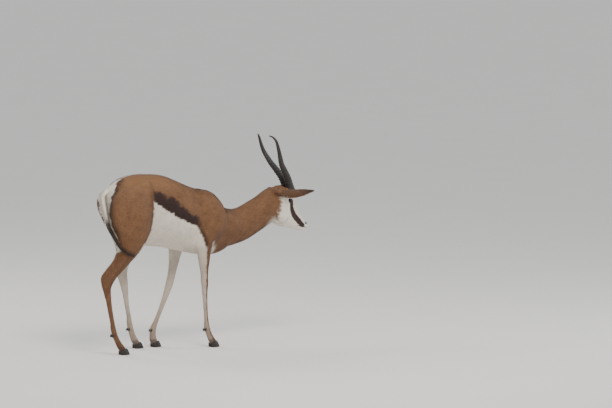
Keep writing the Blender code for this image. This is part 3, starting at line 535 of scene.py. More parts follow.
def near(points, centre, reach):
    """Points within reach of a centre, on either side of the body."""
    folded = points.copy()
    folded[:, 1] = np.abs(folded[:, 1])
    return np.linalg.norm(folded - np.array(centre), axis=1) < reach


refined(skin, points_of(skin.data)[:, 0] > FACE_FINER)
eased(skin, (points_of(skin.data)[:, 0] > FACE_EASED).astype(float), 5)
p = points_of(skin.data)
refined(skin, near(p, EYE_CENTRE, EYE_FINER) | (p[:, 0] > MUZZLE_FINER))
p = points_of(skin.data)
eased(skin, (near(p, EYE_CENTRE, EYE_EASED) | (p[:, 0] > MUZZLE_EASED)).astype(float), 4)
p = points_of(skin.data)
end_of_nose = ramp(p[:, 0], 0.786, 0.806) * ramp(p[:, 2], 0.530, 0.540)
eased(skin, end_of_nose, 30)
print("skin refined:", len(skin.data.polygons), "faces")

# %% [markdown]
# The skin lies a little inside the solids, because the coat lies over it. Then it gets
# its low relief: tendons, folds, the mouth, the nostrils. Each is a stroke, a path that
# lifts or sinks the skin near it, as a modelling tool does when drawn over clay.

# %% Strokes of the modelling tool
COAT_DEPTH = 0.0022  # on the body
SHORT_HAIR = 0.66  # how much shallower the coat is on face and feet

# Path of (x, distance from the midline, z), width, height in millimetres, and whether
# the stroke goes right through a thin part, so that both of its faces show it.
STROKES = [
    ([(-0.052, 0.104, 0.660), (-0.072, 0.102, 0.636), (-0.090, 0.098, 0.606)], 9, -3.0, False),
    ([(0.104, 0.110, 0.575), (0.106, 0.104, 0.540), (0.122, 0.100, 0.505)], 9, -4.0, False),
    ([(-0.246, 0.100, 0.740), (-0.262, 0.122, 0.650), (-0.258, 0.126, 0.570)], 15, -3.0, False),
    ([(-0.180, 0.100, 0.750), (-0.168, 0.138, 0.660), (-0.190, 0.138, 0.570)], 24, 2.0, False),
    ([(-0.100, 0.095, 0.735), (-0.094, 0.110, 0.660), (-0.118, 0.118, 0.590)], 14, -1.5, False),
    ([(0.222, 0.046, 0.738), (0.262, 0.100, 0.670), (0.300, 0.112, 0.610)], 12, 2.5, False),
    ([(0.180, 0.075, 0.730), (0.163, 0.112, 0.660), (0.140, 0.114, 0.600)], 14, -2.5, False),
    ([(0.250, 0.108, 0.600), (0.228, 0.112, 0.560), (0.200, 0.108, 0.520)], 11, -2.0, False),
    ([(0.330, 0.068, 0.640), (0.345, 0.066, 0.580), (0.330, 0.060, 0.520)], 24, -1.2, False),
    ([(0.590, 0.045, 0.600), (0.480, 0.056, 0.540), (0.370, 0.062, 0.505)], 12, -2.5, False),
    ([(0.030, 0.112, 0.700), (0.050, 0.114, 0.600), (0.075, 0.100, 0.530)], 8, 0.9, False),
    ([(-0.004, 0.108, 0.700), (0.018, 0.112, 0.600), (0.040, 0.100, 0.530)], 8, 0.9, False),
    ([(0.064, 0.114, 0.690), (0.082, 0.114, 0.600), (0.105, 0.100, 0.540)], 8, 0.9, False),
    ([(-0.300, 0.085, 0.452), (-0.326, 0.083, 0.412), (-0.349, 0.081, 0.374)], 7, -4.0, True),
    ([(-0.180, 0.080, 0.470), (-0.179, 0.078, 0.420), (-0.184, 0.077, 0.372)], 7, -4.0, True),
    ([(-0.346, 0.080, 0.270), (-0.335, 0.080, 0.200), (-0.320, 0.080, 0.145)], 4, -1.6, True),
    ([(-0.162, 0.075, 0.270), (-0.151, 0.075, 0.200), (-0.139, 0.075, 0.145)], 4, -1.6, True),
    ([(0.194, 0.075, 0.250), (0.198, 0.075, 0.190), (0.203, 0.075, 0.125)], 4, -1.6, True),
    ([(0.063, 0.071, 0.235), (0.038, 0.070, 0.175), (0.013, 0.070, 0.118)], 4, -1.6, True),
    ([(0.181, 0.076, 0.310), (0.186, 0.076, 0.290)], 7, -1.6, True),
    ([(0.662, 0.050, 0.668), (0.683, 0.050, 0.625), (0.690, 0.045, 0.575)], 7, -1.6, False),
    ([(0.722, 0.043, 0.650), (0.748, 0.033, 0.612), (0.768, 0.026, 0.585)], 7, 0.9, False),
    ([(0.722, 0.041, 0.645), (0.727, 0.039, 0.634)], 1.8, -1.6, False),
    ([(0.705, 0.030, 0.700), (0.722, 0.022, 0.684)], 8, -1.2, False),
    ([(0.788, 0.022, 0.563), (0.772, 0.024, 0.560), (0.758, 0.026, 0.556)], 4, -0.9, False),
]


def stroked(points, normals, path, width, height, through=False):
    """Moves points near a path out by height millimetres, over a width in millimetres."""
    reach = path_distance(points, path, through) / (width / 1000)
    return points + normals * (height / 1000 * np.exp(-(reach**2)))[:, None]


p, n = points_of(skin.data), normals_of(skin.data)
face = ramp(p[:, 0], 0.60, 0.68)
feet = 1 - ramp(p[:, 2], 0.20, 0.42)
thin = np.maximum(face, feet)
p = p - n * (COAT_DEPTH * (1 - SHORT_HAIR * thin))[:, None]
for path, width, height, through in STROKES:
    p = stroked(p, n, path, width, height, through)

# %% [markdown]
# An antelope's eye looks out sideways from a raised rim. The skin inside the almond
# between the lids sinks behind the eyeball, and the skin just outside it is drawn up
# close to the ball, so the lids lie on it as real lids do.

# %% Lids round the eyes
LID_LENGTH, LID_HEIGHT = 0.0138, 0.0098  # half of the opening between the lids
LID_THICKNESS = 0.0013
LID_SPREAD = 0.034  # skin further from the eye's axis stays as it is
SOCKET_DEPTH = 0.0045  # how far the skin behind the eyeball lies under its surface
LID_CREASE = 0.0011  # depth of the fold above the upper lid
EYE_BACK = -0.004  # skin further in than this isn't part of the lids


def eye_centre(side):
    return np.array([EYE_CENTRE.x, side * EYE_CENTRE.y, EYE_CENTRE.z])


def eye_axes(side):
    """The eye's directions: along the opening, across it, and out of the head."""
    out = Vector((0.20, side * 0.97, 0.10)).normalized()
    along = Vector((0.80, 0, -0.60))
    along = (along - out * along.dot(out)).normalized()
    across = along.cross(out) * side
    if across.z < 0:
        across = -across
    return [np.array(v) for v in (along, across, out)]


def with_lids(points, side):
    along, across, out = eye_axes(side)
    offset = points - eye_centre(side)
    a, b, height = offset @ along, offset @ across, offset @ out
    close = (height > EYE_BACK) & (np.hypot(a, b) < LID_SPREAD)
    almond = np.hypot(a / LID_LENGTH, b / (LID_HEIGHT * (1 - 0.18 * (a / LID_LENGTH) ** 2)))
    ball = np.sqrt(np.clip(EYE_RADIUS**2 - a**2 - b**2, 0, None))
    lid_top = np.sqrt(np.clip((EYE_RADIUS + LID_THICKNESS) ** 2 - a**2 - b**2, 0, None))
    rim = np.exp(-(((almond - 1.09) / 0.15) ** 2))
    drawn_up = np.maximum(height, lid_top * rim + height * (1 - rim))
    wanted = np.where(almond < 1.0, ball - SOCKET_DEPTH, drawn_up)
    crease = LID_CREASE * np.exp(-(((almond - 1.55) / 0.10) ** 2)) * (b > -0.004)
    moved = points + out * (wanted - height - crease)[:, None]
    blend = (close & (almond < 2.2)).astype(float)[:, None]
    return points * (1 - blend) + moved * blend


# %% Mouth and nostrils
MOUTH_FRONT, MOUTH_CORNER = (0.8165, 0.0, 0.5325), (0.751, 0.0, 0.5475)


def mouth_distance(points):
    """Distance from the mouth's level, and how far along the lips a point lies, 0 to 1."""
    front, corner = np.array(MOUTH_FRONT), np.array(MOUTH_CORNER)
    along = front - corner
    length = np.linalg.norm(along)
    along = along / length
    up = np.array([-along[2], 0, along[0]])
    offset = points - corner
    wave = 0.0012 * np.sin(np.clip(offset @ along / length, 0, 1) * math.pi)
    return offset @ up + wave, offset @ along / length


def with_mouth(points, normals):
    level, share = mouth_distance(points)
    inside = ramp(share, -0.06, 0.06)
    groove = -0.0030 * np.exp(-((level / 0.00085) ** 2))
    upper = 0.0012 * np.exp(-(((level - 0.0032) / 0.0022) ** 2))
    lower = 0.0010 * np.exp(-(((level + 0.0030) / 0.0020) ** 2))
    return points + normals * ((groove + upper + lower) * inside)[:, None]


NOSTRIL = [
    (0.8125, 0.0055, 0.5610), (0.8125, 0.0105, 0.5585), (0.8085, 0.0155, 0.5535), (0.8020, 0.0185, 0.5545),
]
SEPTUM = [(0.8130, 0.0, 0.5590), (0.8140, 0.0, 0.5480), (0.8130, 0.0, 0.5370)]
for side in (-1, 1):
    p = with_lids(p, side)
p = with_mouth(p, n)
p = stroked(p, n, NOSTRIL, 5.0, 1.2)
p = stroked(p, n, NOSTRIL, 1.7, -6.5)
p = stroked(p, n, SEPTUM, 1.6, -1.8)
skin.data.vertices.foreach_set("co", p.astype(np.float32).ravel())
skin.data.update()
skin.data.shade_smooth()
print("skin size", p.min(0).round(3), p.max(0).round(3))

# %% [markdown]
# ## The markings
# The coat is cinnamon above, white below, with a chocolate band between. They are worked
# out from where a point lies on the body, so that skin and hair always agree. The edges
# waver a little, because each hair takes the colour of its own root.
# Painted light goes with them: a painted highlight along the top of the back, and painted shade under the hip,
# on the outside of the ears and on the inner legs.

# %% Tools for lines between two colours
dice = np.random.default_rng(11)
WAVES = [(dice.normal(0, 1, 3), dice.uniform(0, 6.28)) for _ in range(14)]


def waver(points, size):
    """A smooth random number between about -1 and 1, whose waves are size metres long."""
    total = np.zeros(len(points))
    for direction, start in WAVES:
        total += np.sin(points @ (direction * 3.6 / size) + start)
    return total / 3.6


def line_at(values, pairs):
    """A boundary line, as pairs of (place, level), read at the given places."""
    pairs = sorted(pairs)
    return np.interp(values, [a for a, _ in pairs], [b for _, b in pairs])


# %% Lines of the coat
# By place along the body, the level of the band's upper and lower edge; the upper edge is raised under the hip
# to take in painted shade
BAND_TOP_WITH_HIP_SHADE = [
    (-0.10, 0.786), (-0.076, 0.768), (-0.031, 0.749), (0.017, 0.728),
    (0.051, 0.706), (0.076, 0.685), (0.108, 0.654), (0.165, 0.622),
]
BAND_FOOT = [
    (-0.10, 0.735), (-0.069, 0.712), (-0.036, 0.690), (0.001, 0.665),
    (0.039, 0.643), (0.072, 0.626), (0.106, 0.604), (0.142, 0.594),
]
# By height, how far forward the white of the flank reaches, and where the thigh starts
ELBOW_EDGE = [
    (0.430, 0.198), (0.462, 0.194), (0.495, 0.190), (0.521, 0.181),
    (0.554, 0.169), (0.580, 0.154), (0.597, 0.142), (0.62, 0.135),
]
THIGH_EDGE = [
    (0.495, -0.177), (0.528, -0.158), (0.545, -0.125), (0.568, -0.104),
    (0.603, -0.095), (0.690, -0.086), (0.760, -0.080),
]
# By height, how much further back the left elbow and further forward the left thigh stand
LEFT_ELBOW = [(0.43, -0.070), (0.47, -0.062), (0.52, -0.040), (0.57, -0.027), (0.63, -0.012)]
LEFT_THIGH = [(0.44, 0.105), (0.54, 0.073), (0.60, 0.050), (0.66, 0.030), (0.735, 0.017), (0.81, 0.005)]
# By height, half the width of the rump's white patch, and the rear edge of the white cheek
RUMP_EDGE = [
    (0.470, -0.010), (0.484, 0.060), (0.498, 0.100), (0.512, 0.109), (0.549, 0.105), (0.587, 0.097),
    (0.634, 0.084), (0.715, 0.072), (0.781, 0.036), (0.819, 0.015), (0.850, 0.005),
]
CHEEK_EDGE = [(0.54, 0.622), (0.571, 0.628), (0.587, 0.636), (0.606, 0.646), (0.683, 0.650), (0.70, 0.664)]
FACE_STRIPE = [
    (0.706, 0.046, 0.662), (0.709, 0.044, 0.632), (0.722, 0.038, 0.605),
    (0.741, 0.031, 0.583), (0.767, 0.025, 0.560), (0.785, 0.021, 0.546),
]
print("depth of the band at its rear end", round(BAND_TOP_WITH_HIP_SHADE[0][1] - BAND_FOOT[0][1], 3), "m")


# %% Where a point lies on the body
def leg_place(points):
    """Which leg a point is on, and its place across it: -1 back to 1 front, and outward."""
    best = np.full(len(points), FAR)
    place = {key: np.zeros(len(points)) for key in ("fore", "front", "out")}
    for name, (side, ribs) in LEGS.items():
        table = smooth_line([(*rib[0], *rib[1], rib[2], rib[3]) for rib in ribs], 60)
        level = -(table[:, 1] + table[:, 3]) / 2
        rib_here = [np.interp(-points[:, 2], level, table[:, k]) for k in (0, 2, 4, 5)]
        front, back, middle, half = rib_here
        along = (points[:, 0] - (front + back) / 2) / ((front - back) / 2)
        outward = (points[:, 1] * side - middle) / half
        past_ends = np.maximum(np.abs(along) - 1, 0) * (front - back) / 2
        past_sides = np.maximum(np.abs(outward) - 1, 0) * half
        far = np.where(points[:, 1] * side < -0.01, FAR, np.hypot(past_ends, past_sides))
        closer = far < best
        best = np.where(closer, far, best)
        found = {"fore": float("front" in name), "front": along, "out": outward}
        for key, value in found.items():
            place[key] = np.where(closer, value, place[key])
    return place


FINE_WAVES, BROAD_WAVES = 0.012, 0.035  # metres from crest to crest along an edge


def where_on_body(points, normals):
    """What the markings need to know about points: place, facing, leg and nearby edges."""
    x, y, z = points.T
    fine, broad = waver(points, FINE_WAVES), waver(points + 3.1, BROAD_WAVES)
    left = (y > 0).astype(float)
    return SimpleNamespace(
        points=points,
        normals=normals,
        x=x,
        z=z,
        far_out=np.abs(y),
        left=left,
        fine=fine,
        broad=broad,
        edge=0.0022 * fine + 0.0030 * broad,
        leg=leg_place(points),
        elbow_edge=line_at(z, ELBOW_EDGE) + left * line_at(z, LEFT_ELBOW),
        thigh_edge=line_at(z, THIGH_EDGE) + left * line_at(z, LEFT_THIGH),
    )


# %% White of trunk, legs, rump and head
def white_of_trunk(at):
    """White flank and belly below the band, as far forward as the elbow, and the brisket."""
    x, z, edge = at.x, at.z, at.edge
    below_band = ramp(line_at(x, BAND_FOOT) - z + edge, -0.002, 0.002)
    before_thigh = ramp(x - at.thigh_edge + edge, -0.003, 0.003)
    behind_elbow = ramp(at.elbow_edge - x + edge, -0.002, 0.002)
    trunk = (z > 0.43) & (x < 0.42)
    belly = below_band * before_thigh * behind_elbow * trunk
    under = ramp(-at.normals[:, 2], 0.35, 0.75) * ramp(0.225 - x + 3 * edge, 0, 0.02)
    under = under * ramp(0.56 - z, 0, 0.04) * (z > 0.40)
    between_legs = 0.012 - np.abs(x - 0.238 + 0.030 * at.left)
    brisket = ramp(between_legs + 0.35 * (0.512 - z) + edge, 0, 0.005)
    low = ramp(0.520 - z + 1.5 * edge, 0, 0.006) * (z > 0.42)
    brisket *= low * ramp(0.095 - at.far_out, -0.03, 0.01)
    return np.maximum.reduce([belly, under * trunk, brisket * 0.9])


def white_of_legs(at, white):
    """White inside the legs, on the back of the forelegs and before the thighs."""
    x, z, edge, leg = at.x, at.z, at.edge, at.leg
    inner = ramp(-leg["out"] - 0.05 + 12 * edge, -0.12, 0.12)
    ahead = at.left * ramp(leg["front"], 1.7, 2.4) * (leg["fore"] > 0.5) * ramp(z, 0.40, 0.44)
    ahead = ahead * ramp(at.far_out, 0.03, 0.05)
    inner = inner * (1 - ahead)
    fore_back = ramp(0.12 - leg["front"] + 20 * edge, -0.10, 0.10)
    fore_white = np.maximum(inner * 0.96, fore_back * 0.92)
    hind_white = np.maximum(inner, ramp(leg["front"] - 0.80, 0, 0.15) * ramp(z, 0.44, 0.48))
    on_leg = np.where(leg["fore"] > 0.5, fore_white, hind_white)
    # Leg white fades lower down, where the legs are tan, and stays below full white at the top too, which is
    # painted shade on the inner legs.
    on_leg = on_leg * (0.30 + 0.36 * ramp(z, 0.05, 0.30) + 0.2 * ramp(z, 0.36, 0.46))
    lower = ramp(0.50 - z, -0.01, 0.03) * ramp(0.285 - x, 0, 0.02)
    white = white * (1 - lower) + on_leg * lower
    thigh_inside = ramp(-leg["out"] - 0.30, 0, 0.25) * (leg["fore"] < 0.5) * ramp(0.66 - z, 0, 0.04)
    thigh_inside = thigh_inside * (x < -0.02) * (z > 0.40)
    groin = ramp(0.078 - at.far_out, 0, 0.012) * ramp(0.575 - z, 0, 0.02) * (z > 0.42) * (x < 0.10)
    return np.maximum.reduce([white, thigh_inside, groin])


def rump_patch(at):
    """The white patch round the tail, and how far outside its edge the points lie."""
    x, z = at.x, at.z
    outside = at.far_out - line_at(z, RUMP_EDGE) + 0.011 * at.left * ramp(z, 0.55, 0.62) - at.edge
    facing_back = ramp(-0.6 - at.normals[:, 0], 0, 0.2) * (x < -0.12)
    to_the_rear = np.maximum(ramp(-0.205 - x, 0, 0.02), facing_back)
    return ramp(-outside, -0.0025, 0.0025) * to_the_rear, outside


def white_of_head(at, white):
    """A white face and throat under a brown crown."""
    x, z, edge = at.x, at.z, at.edge
    cheek = ramp(x - line_at(z, CHEEK_EDGE) + 2 * edge, -0.011, 0.009)
    down_face = (x - 0.70) * 0.645 - (z - 0.70) * 0.764
    crown_edge = 0.003 + 0.036 * np.exp(-((at.far_out / 0.027) ** 4))
    face_white = cheek * ramp(down_face - crown_edge + edge, -0.004, 0.004)
    below_eye = cheek * ramp(at.far_out, 0.026, 0.034) * ramp(0.690 - z + edge, -0.003, 0.003)
    throat = ramp(-at.normals[:, 2], 0.2, 0.7) * ramp(x, 0.56, 0.62) * ramp(0.615 - z, 0, 0.02)
    whitest = np.maximum.reduce([white, face_white, below_eye, throat * 0.9])
    return np.where(x > 0.52, whitest, white)


# %% Chocolate and black marks
def chocolate_marks(at, rump, outside_rump):
    """The band, whose soft upper edge carries painted shade under the hip, the elbow's edge, the rump's
    toothed edge and the face stripe.
    """
    x, z, edge, far_out = at.x, at.z, at.edge, at.far_out
    # The band's raised, soft upper edge is chocolate band in part and painted shade under the hip in part.
    band = ramp(line_at(x, BAND_TOP_WITH_HIP_SHADE) - z + 2 * edge, -0.014, 0.010)
    band = band * ramp(z - line_at(x, BAND_FOOT) - edge, -0.002, 0.002)
    band = band * ramp(x - 0.012 * at.left, -0.088, -0.074) * ramp(0.185 - x, 0, 0.045)
    band = band * (far_out > 0.05)
    behind = x - at.elbow_edge
    elbow = np.exp(-(((behind - 0.009) / 0.012) ** 2)) * ramp(z, 0.47, 0.52) * ramp(0.62 - z, 0, 0.03)
    elbow = elbow * (behind > -0.004) * (far_out > 0.06)
    teeth = ramp(0.036 - outside_rump, 0, 0.034) * ramp(outside_rump, -0.002, 0.001)
    teeth = teeth * ramp(-0.19 - x, 0, 0.03) * ramp(z, 0.54, 0.60) * (1 - rump)
    stripe_half = 0.0100 + 0.0035 * ramp(0.65 - z, 0, 0.04) - 0.003 * ramp(x, 0.765, 0.79)
    stripe = ramp(stripe_half - path_distance(at.points, FACE_STRIPE) + 0.25 * edge, -0.0015, 0.0015)
    thigh = 0.30 * np.exp(-(((at.thigh_edge - x - 0.004) / 0.010) ** 2)) * (z > 0.55) * (x < 0)
    thigh = thigh * (far_out > 0.06)
    return np.clip(np.maximum.reduce([band, 0.85 * elbow, 0.85 * teeth, stripe, thigh]), 0, 1)


def black_marks(at):
    """Bare skin of nose pad, lips and lids, and the dark hair just above the hooves."""
    level, share = mouth_distance(at.points)
    lips = np.exp(-((level / 0.0017) ** 2)) * ramp(share, -0.05, 0.15)
    nose = ramp(0.0066 - path_distance(at.points, NOSTRIL), 0, 0.0018)
    pad = ramp(0.0058 - path_distance(at.points, SEPTUM), 0, 0.0025) * (level > 0)
    lids = np.zeros(len(at.points))
    for side in (-1, 1):
        along, across, out = eye_axes(side)
        offset = at.points - eye_centre(side)
        ring = np.hypot((offset @ along - 0.001) / (LID_LENGTH + 0.001), offset @ across / LID_HEIGHT)
        lids = np.maximum(lids, ramp(1.27 - ring, 0, 0.10) * (offset @ out > EYE_BACK))
    coronet = ramp(0.046 - at.z, 0, 0.010) * 0.55
    return np.maximum.reduce([lips, nose, pad, lids, coronet])


# %% The markings, written on the skin
CREST_HALF = 0.0056  # metres, half the width of the closed white line on the back


def coat_marks_and_painted_light(points, normals):
    """Shares of white, chocolate and black, and a lightness with painted light in it, for points on the body.
    """
    at = where_on_body(points, normals)
    rump, outside_rump = rump_patch(at)
    crest = ramp(CREST_HALF - at.far_out + 0.5 * at.edge, -0.002, 0.002)
    crest = crest * (at.x < 0.02) * (at.x > -0.30) * (at.z > 0.80)
    white = white_of_legs(at, white_of_trunk(at))
    white = np.maximum(white, np.maximum(rump * (at.z > 0.43), crest * 0.75))
    white = white_of_head(at, white)
    # The lightness rises along the top of the back, which is a painted highlight of sunlight there; lower on
    # the body and legs it falls.
    light = 0.5 + 0.07 * at.broad + 0.05 * at.fine + 0.6 * ramp(at.z, 0.74, 0.84) * (at.x < 0.25)
    light = np.clip(light - 0.25 * ramp(0.62 - at.z, 0, 0.2), 0, 1)
    return np.stack([white, chocolate_marks(at, rump, outside_rump), black_marks(at), light], 1)


def write_colours(mesh, name, colours):
    """Writes a colour on each point of a mesh, where the materials read it."""
    found = mesh.attributes.new(name, "FLOAT_COLOR", "POINT")
    found.data.foreach_set("color", np.asarray(colours, float).astype(np.float32).ravel())


p, n = points_of(skin.data), normals_of(skin.data)
write_colours(skin.data, "coat_marks_and_painted_light", coat_marks_and_painted_light(p, n))
print("markings on", len(p), "points of skin")

# %% [markdown]
# ## Materials of the animal
# Antelope hair is keratin with a hollow core: dull, a little soft at grazing light, never
# glossy. Its colour comes from the markings, which the material reads from the points.
# Bare skin at the nose and lips is black and moist, so its roughness falls there. Real
# hairs are 0.06 mm thick, far too fine to show, so they are drawn about 2 mm apart.

# %% Short hair over hide
HAIR_SPACING = 0.0021
HAIR_STRETCH = (0.32, 1.0, 0.7)  # the pattern runs along the body and a little down
PATCH_SCALE = 13.0  # cells to a metre: paler and darker patches about 77 mm across
CINNAMON, SANDY = "#55331F", "#8E6642"
DUSTY_WHITE, CREAM = "#CFC4B4", "#EFE8DC"
CHOCOLATE, BARE_SKIN = "#2A130A", "#110E0D"
# Sockets of a Mix node when it mixes colours
MIX_SHARE, MIX_UNDER, MIX_OVER, MIX_RESULT = 0, 6, 7, 2


def coat_finish(name, hair_bump):
    """Flat antelope hair, coloured by the markings of the points it lies on."""
    settings = {"Roughness": 0.72, "IOR": 1.45, "Sheen Weight": 0.08, "Sheen Roughness": 0.55}
    material, shader = finish_named(name, settings)
    place = add_node(material, "TexCoord")
    shares = add_node(material, "Attribute", {"attribute_name": "coat_marks_and_painted_light"})
    split = add_node(material, "SeparateColor", links={"Color": shares.outputs["Color"]})
    streaks = add_node(material, "Mapping", {"Scale": HAIR_STRETCH}, {"Vector": place.outputs["Object"]})
    grain = {"Scale": 1 / HAIR_SPACING, "Detail": 3.0}
    hair = add_node(material, "TexNoise", grain, {"Vector": streaks.outputs["Vector"]})
    broad = {"Scale": PATCH_SCALE, "Detail": 3.0}
    patches = add_node(material, "TexNoise", broad, {"Vector": place.outputs["Object"]})
    # Lightness of the markings, varied hair by hair and patch by patch
    by_hair = {"From Min": 0.3, "From Max": 0.7, "To Min": -0.22, "To Max": 0.22}
    lighter = add_node(material, "MapRange", by_hair, {"Value": hair.outputs["Fac"]})
    by_patch = {"From Min": 0.3, "From Max": 0.7, "To Min": -0.07, "To Max": 0.07}
    uneven = add_node(material, "MapRange", by_patch, {"Value": patches.outputs["Fac"]})
    parts = {0: shares.outputs["Alpha"], 1: lighter.outputs["Result"]}
    first = add_node(material, "Math", {"operation": "ADD"}, parts)
    parts = {0: first.outputs["Value"], 1: uneven.outputs["Result"]}
    second = add_node(material, "Math", {"operation": "ADD", "use_clamp": True}, parts)
    brown = add_node(material, "ValToRGB", links={"Fac": second.outputs["Value"]})
    brown.color_ramp.elements[0].color = linear(CINNAMON)
    brown.color_ramp.elements[1].color = linear(SANDY)
    white = add_node(material, "ValToRGB", links={"Fac": second.outputs["Value"]})
    white.color_ramp.elements[0].color = linear(DUSTY_WHITE)
    white.color_ramp.elements[1].color = linear(CREAM)
    # White over brown, then chocolate, then bare skin, each by its share in the markings
    layers = [
        ("Red", {}, {MIX_OVER: white.outputs["Color"]}),
        ("Green", {MIX_OVER: linear(CHOCOLATE)}, {}),
        ("Blue", {MIX_OVER: linear(BARE_SKIN)}, {}),
    ]
    colour = brown.outputs["Color"]
    for share, fixed, linked in layers:
        links = {MIX_SHARE: split.outputs[share], MIX_UNDER: colour, **linked}
        mixed = add_node(material, "Mix", {"data_type": "RGBA", **fixed}, links)
        colour = mixed.outputs[MIX_RESULT]
    join(material, colour, shader, "Base Color")
    wetness = {"From Min": 0.6, "To Min": 0.72, "To Max": 0.38}
    moist = add_node(material, "MapRange", wetness, {"Value": split.outputs["Blue"]})
    join(material, moist.outputs["Result"], shader, "Roughness")
    depth = {"Strength": hair_bump, "Distance": 0.0006}
    relief = add_node(material, "Bump", depth, {"Height": hair.outputs["Fac"]})
    join(material, relief.outputs["Normal"], shader, "Normal")
    return material


hide_finish = coat_finish("short antelope hair over hide", 0.75)
skin.data.materials.clear()
skin.data.materials.append(hide_finish)

# %% From the drawing to the frame
FLESH = ["head", "neck", "torso", "leg_front_left", "leg_front_right", "leg_hind_left", "leg_hind_right"]


def placed(obj, slot_name, *nodes):
    """Moves a finished piece from the drawing to the frame, where it rides on the body."""
    obj.data.transform(Matrix.Translation(SHIFT))
    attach(obj, "root")
    if nodes:
        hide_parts(*nodes)
    print(obj.name, len(obj.data.polygons), "faces")


# %% [markdown]
# Horn is keratin laid down in rings round a bone core. New horn is nearly black, and the
# tip, rubbed for years, is smooth and a little paler. Fine grooves run along it.

# %% Horn and hoof keratin
GROOVE_SPACING = 0.0012
STAIN_SCALE = 60.0  # cells to a metre: stains about 17 mm across


def keratin_finish(name, dark, pale, roughness, stretch):
    """Keratin grown in layers: stretch says which way its fine grooves run."""
    settings = {"Roughness": roughness, "IOR": 1.54, "Specular IOR Level": 0.5}
    material, shader = finish_named(name, settings)
    place = add_node(material, "TexCoord")
    shares = add_node(material, "Attribute", {"attribute_name": "growth"})
    split = add_node(material, "SeparateColor", links={"Color": shares.outputs["Color"]})
    run = add_node(material, "Mapping", {"Scale": stretch}, {"Vector": place.outputs["Object"]})
    fine = {"Scale": 1 / GROOVE_SPACING, "Detail": 4.0}
    grooves = add_node(material, "TexNoise", fine, {"Vector": run.outputs["Vector"]})
    broad = {"Scale": STAIN_SCALE, "Detail": 3.0}
    stains = add_node(material, "TexNoise", broad, {"Vector": place.outputs["Object"]})
    # Paleness is the growth, plus 0.45 of the grooves, plus 0.35 of the stains
    parts = {0: grooves.outputs["Fac"], 2: split.outputs["Red"]}
    total = add_node(material, "Math", {"operation": "MULTIPLY_ADD", 1: 0.45}, parts)
    parts = {0: stains.outputs["Fac"], 2: total.outputs["Value"]}
    both = add_node(material, "Math", {"operation": "MULTIPLY_ADD", 1: 0.35, "use_clamp": True}, parts)
    colour = add_node(material, "ValToRGB", links={"Fac": both.outputs["Value"]})
    colour.color_ramp.elements[0].position = 0.25
    colour.color_ramp.elements[0].color = linear(dark)
    colour.color_ramp.elements[1].color = linear(pale)
    join(material, colour.outputs["Color"], shader, "Base Color")
    polish = {"To Min": roughness + 0.12, "To Max": roughness - 0.10}
    rubbed = add_node(material, "MapRange", polish, {"Value": grooves.outputs["Fac"]})
    join(material, rubbed.outputs["Result"], shader, "Roughness")
    depth = {"Strength": 0.55, "Distance": 0.0005}
    relief = add_node(material, "Bump", depth, {"Height": grooves.outputs["Fac"]})
    join(material, relief.outputs["Normal"], shader, "Normal")
    return material


horn_finish = keratin_finish("ringed horn keratin", "#0A0705", "#2E251F", 0.46, (1.0, 1.0, 0.16))
hoof_finish = keratin_finish("hoof keratin", "#0A0807", "#2A221D", 0.46, (1.0, 1.0, 0.30))

# %% [markdown]
# ## Horns
# The horns are oval in section and lyre-shaped: they lean back, spread, and hook in and
# forward at the tips. The rings stand proud at the front and fade behind. Each horn is a
# loft whose radius swells at every ring, so the rings are true geometry.

# %% Two ringed horns
HORN_BASE = (0.722, 0.712)
HORN_BASE_RADIUS = 0.0213
HORN_TIP_RADIUS = 0.0010
HORN_FLATNESS = 0.80  # width of the oval over its depth
RINGS, RINGED_SHARE = 15, 0.66
RING_SWELL = 0.135  # how far a ring stands out, as a share of the radius
# Rise above the base, lean back, and distance from the midline
HORN_LINE = [
    (-0.012, -0.004, 0.0194),
    (0.000, 0.000, 0.0196),
    (0.028, 0.011, 0.0203),
    (0.069, 0.028, 0.0272),
    (0.114, 0.058, 0.0410),
    (0.140, 0.076, 0.0505),
    (0.191, 0.100, 0.0710),
    (0.226, 0.112, 0.0770),
    (0.255, 0.122, 0.0760),
    (0.274, 0.135, 0.0660),
    (0.281, 0.149, 0.0500),
]


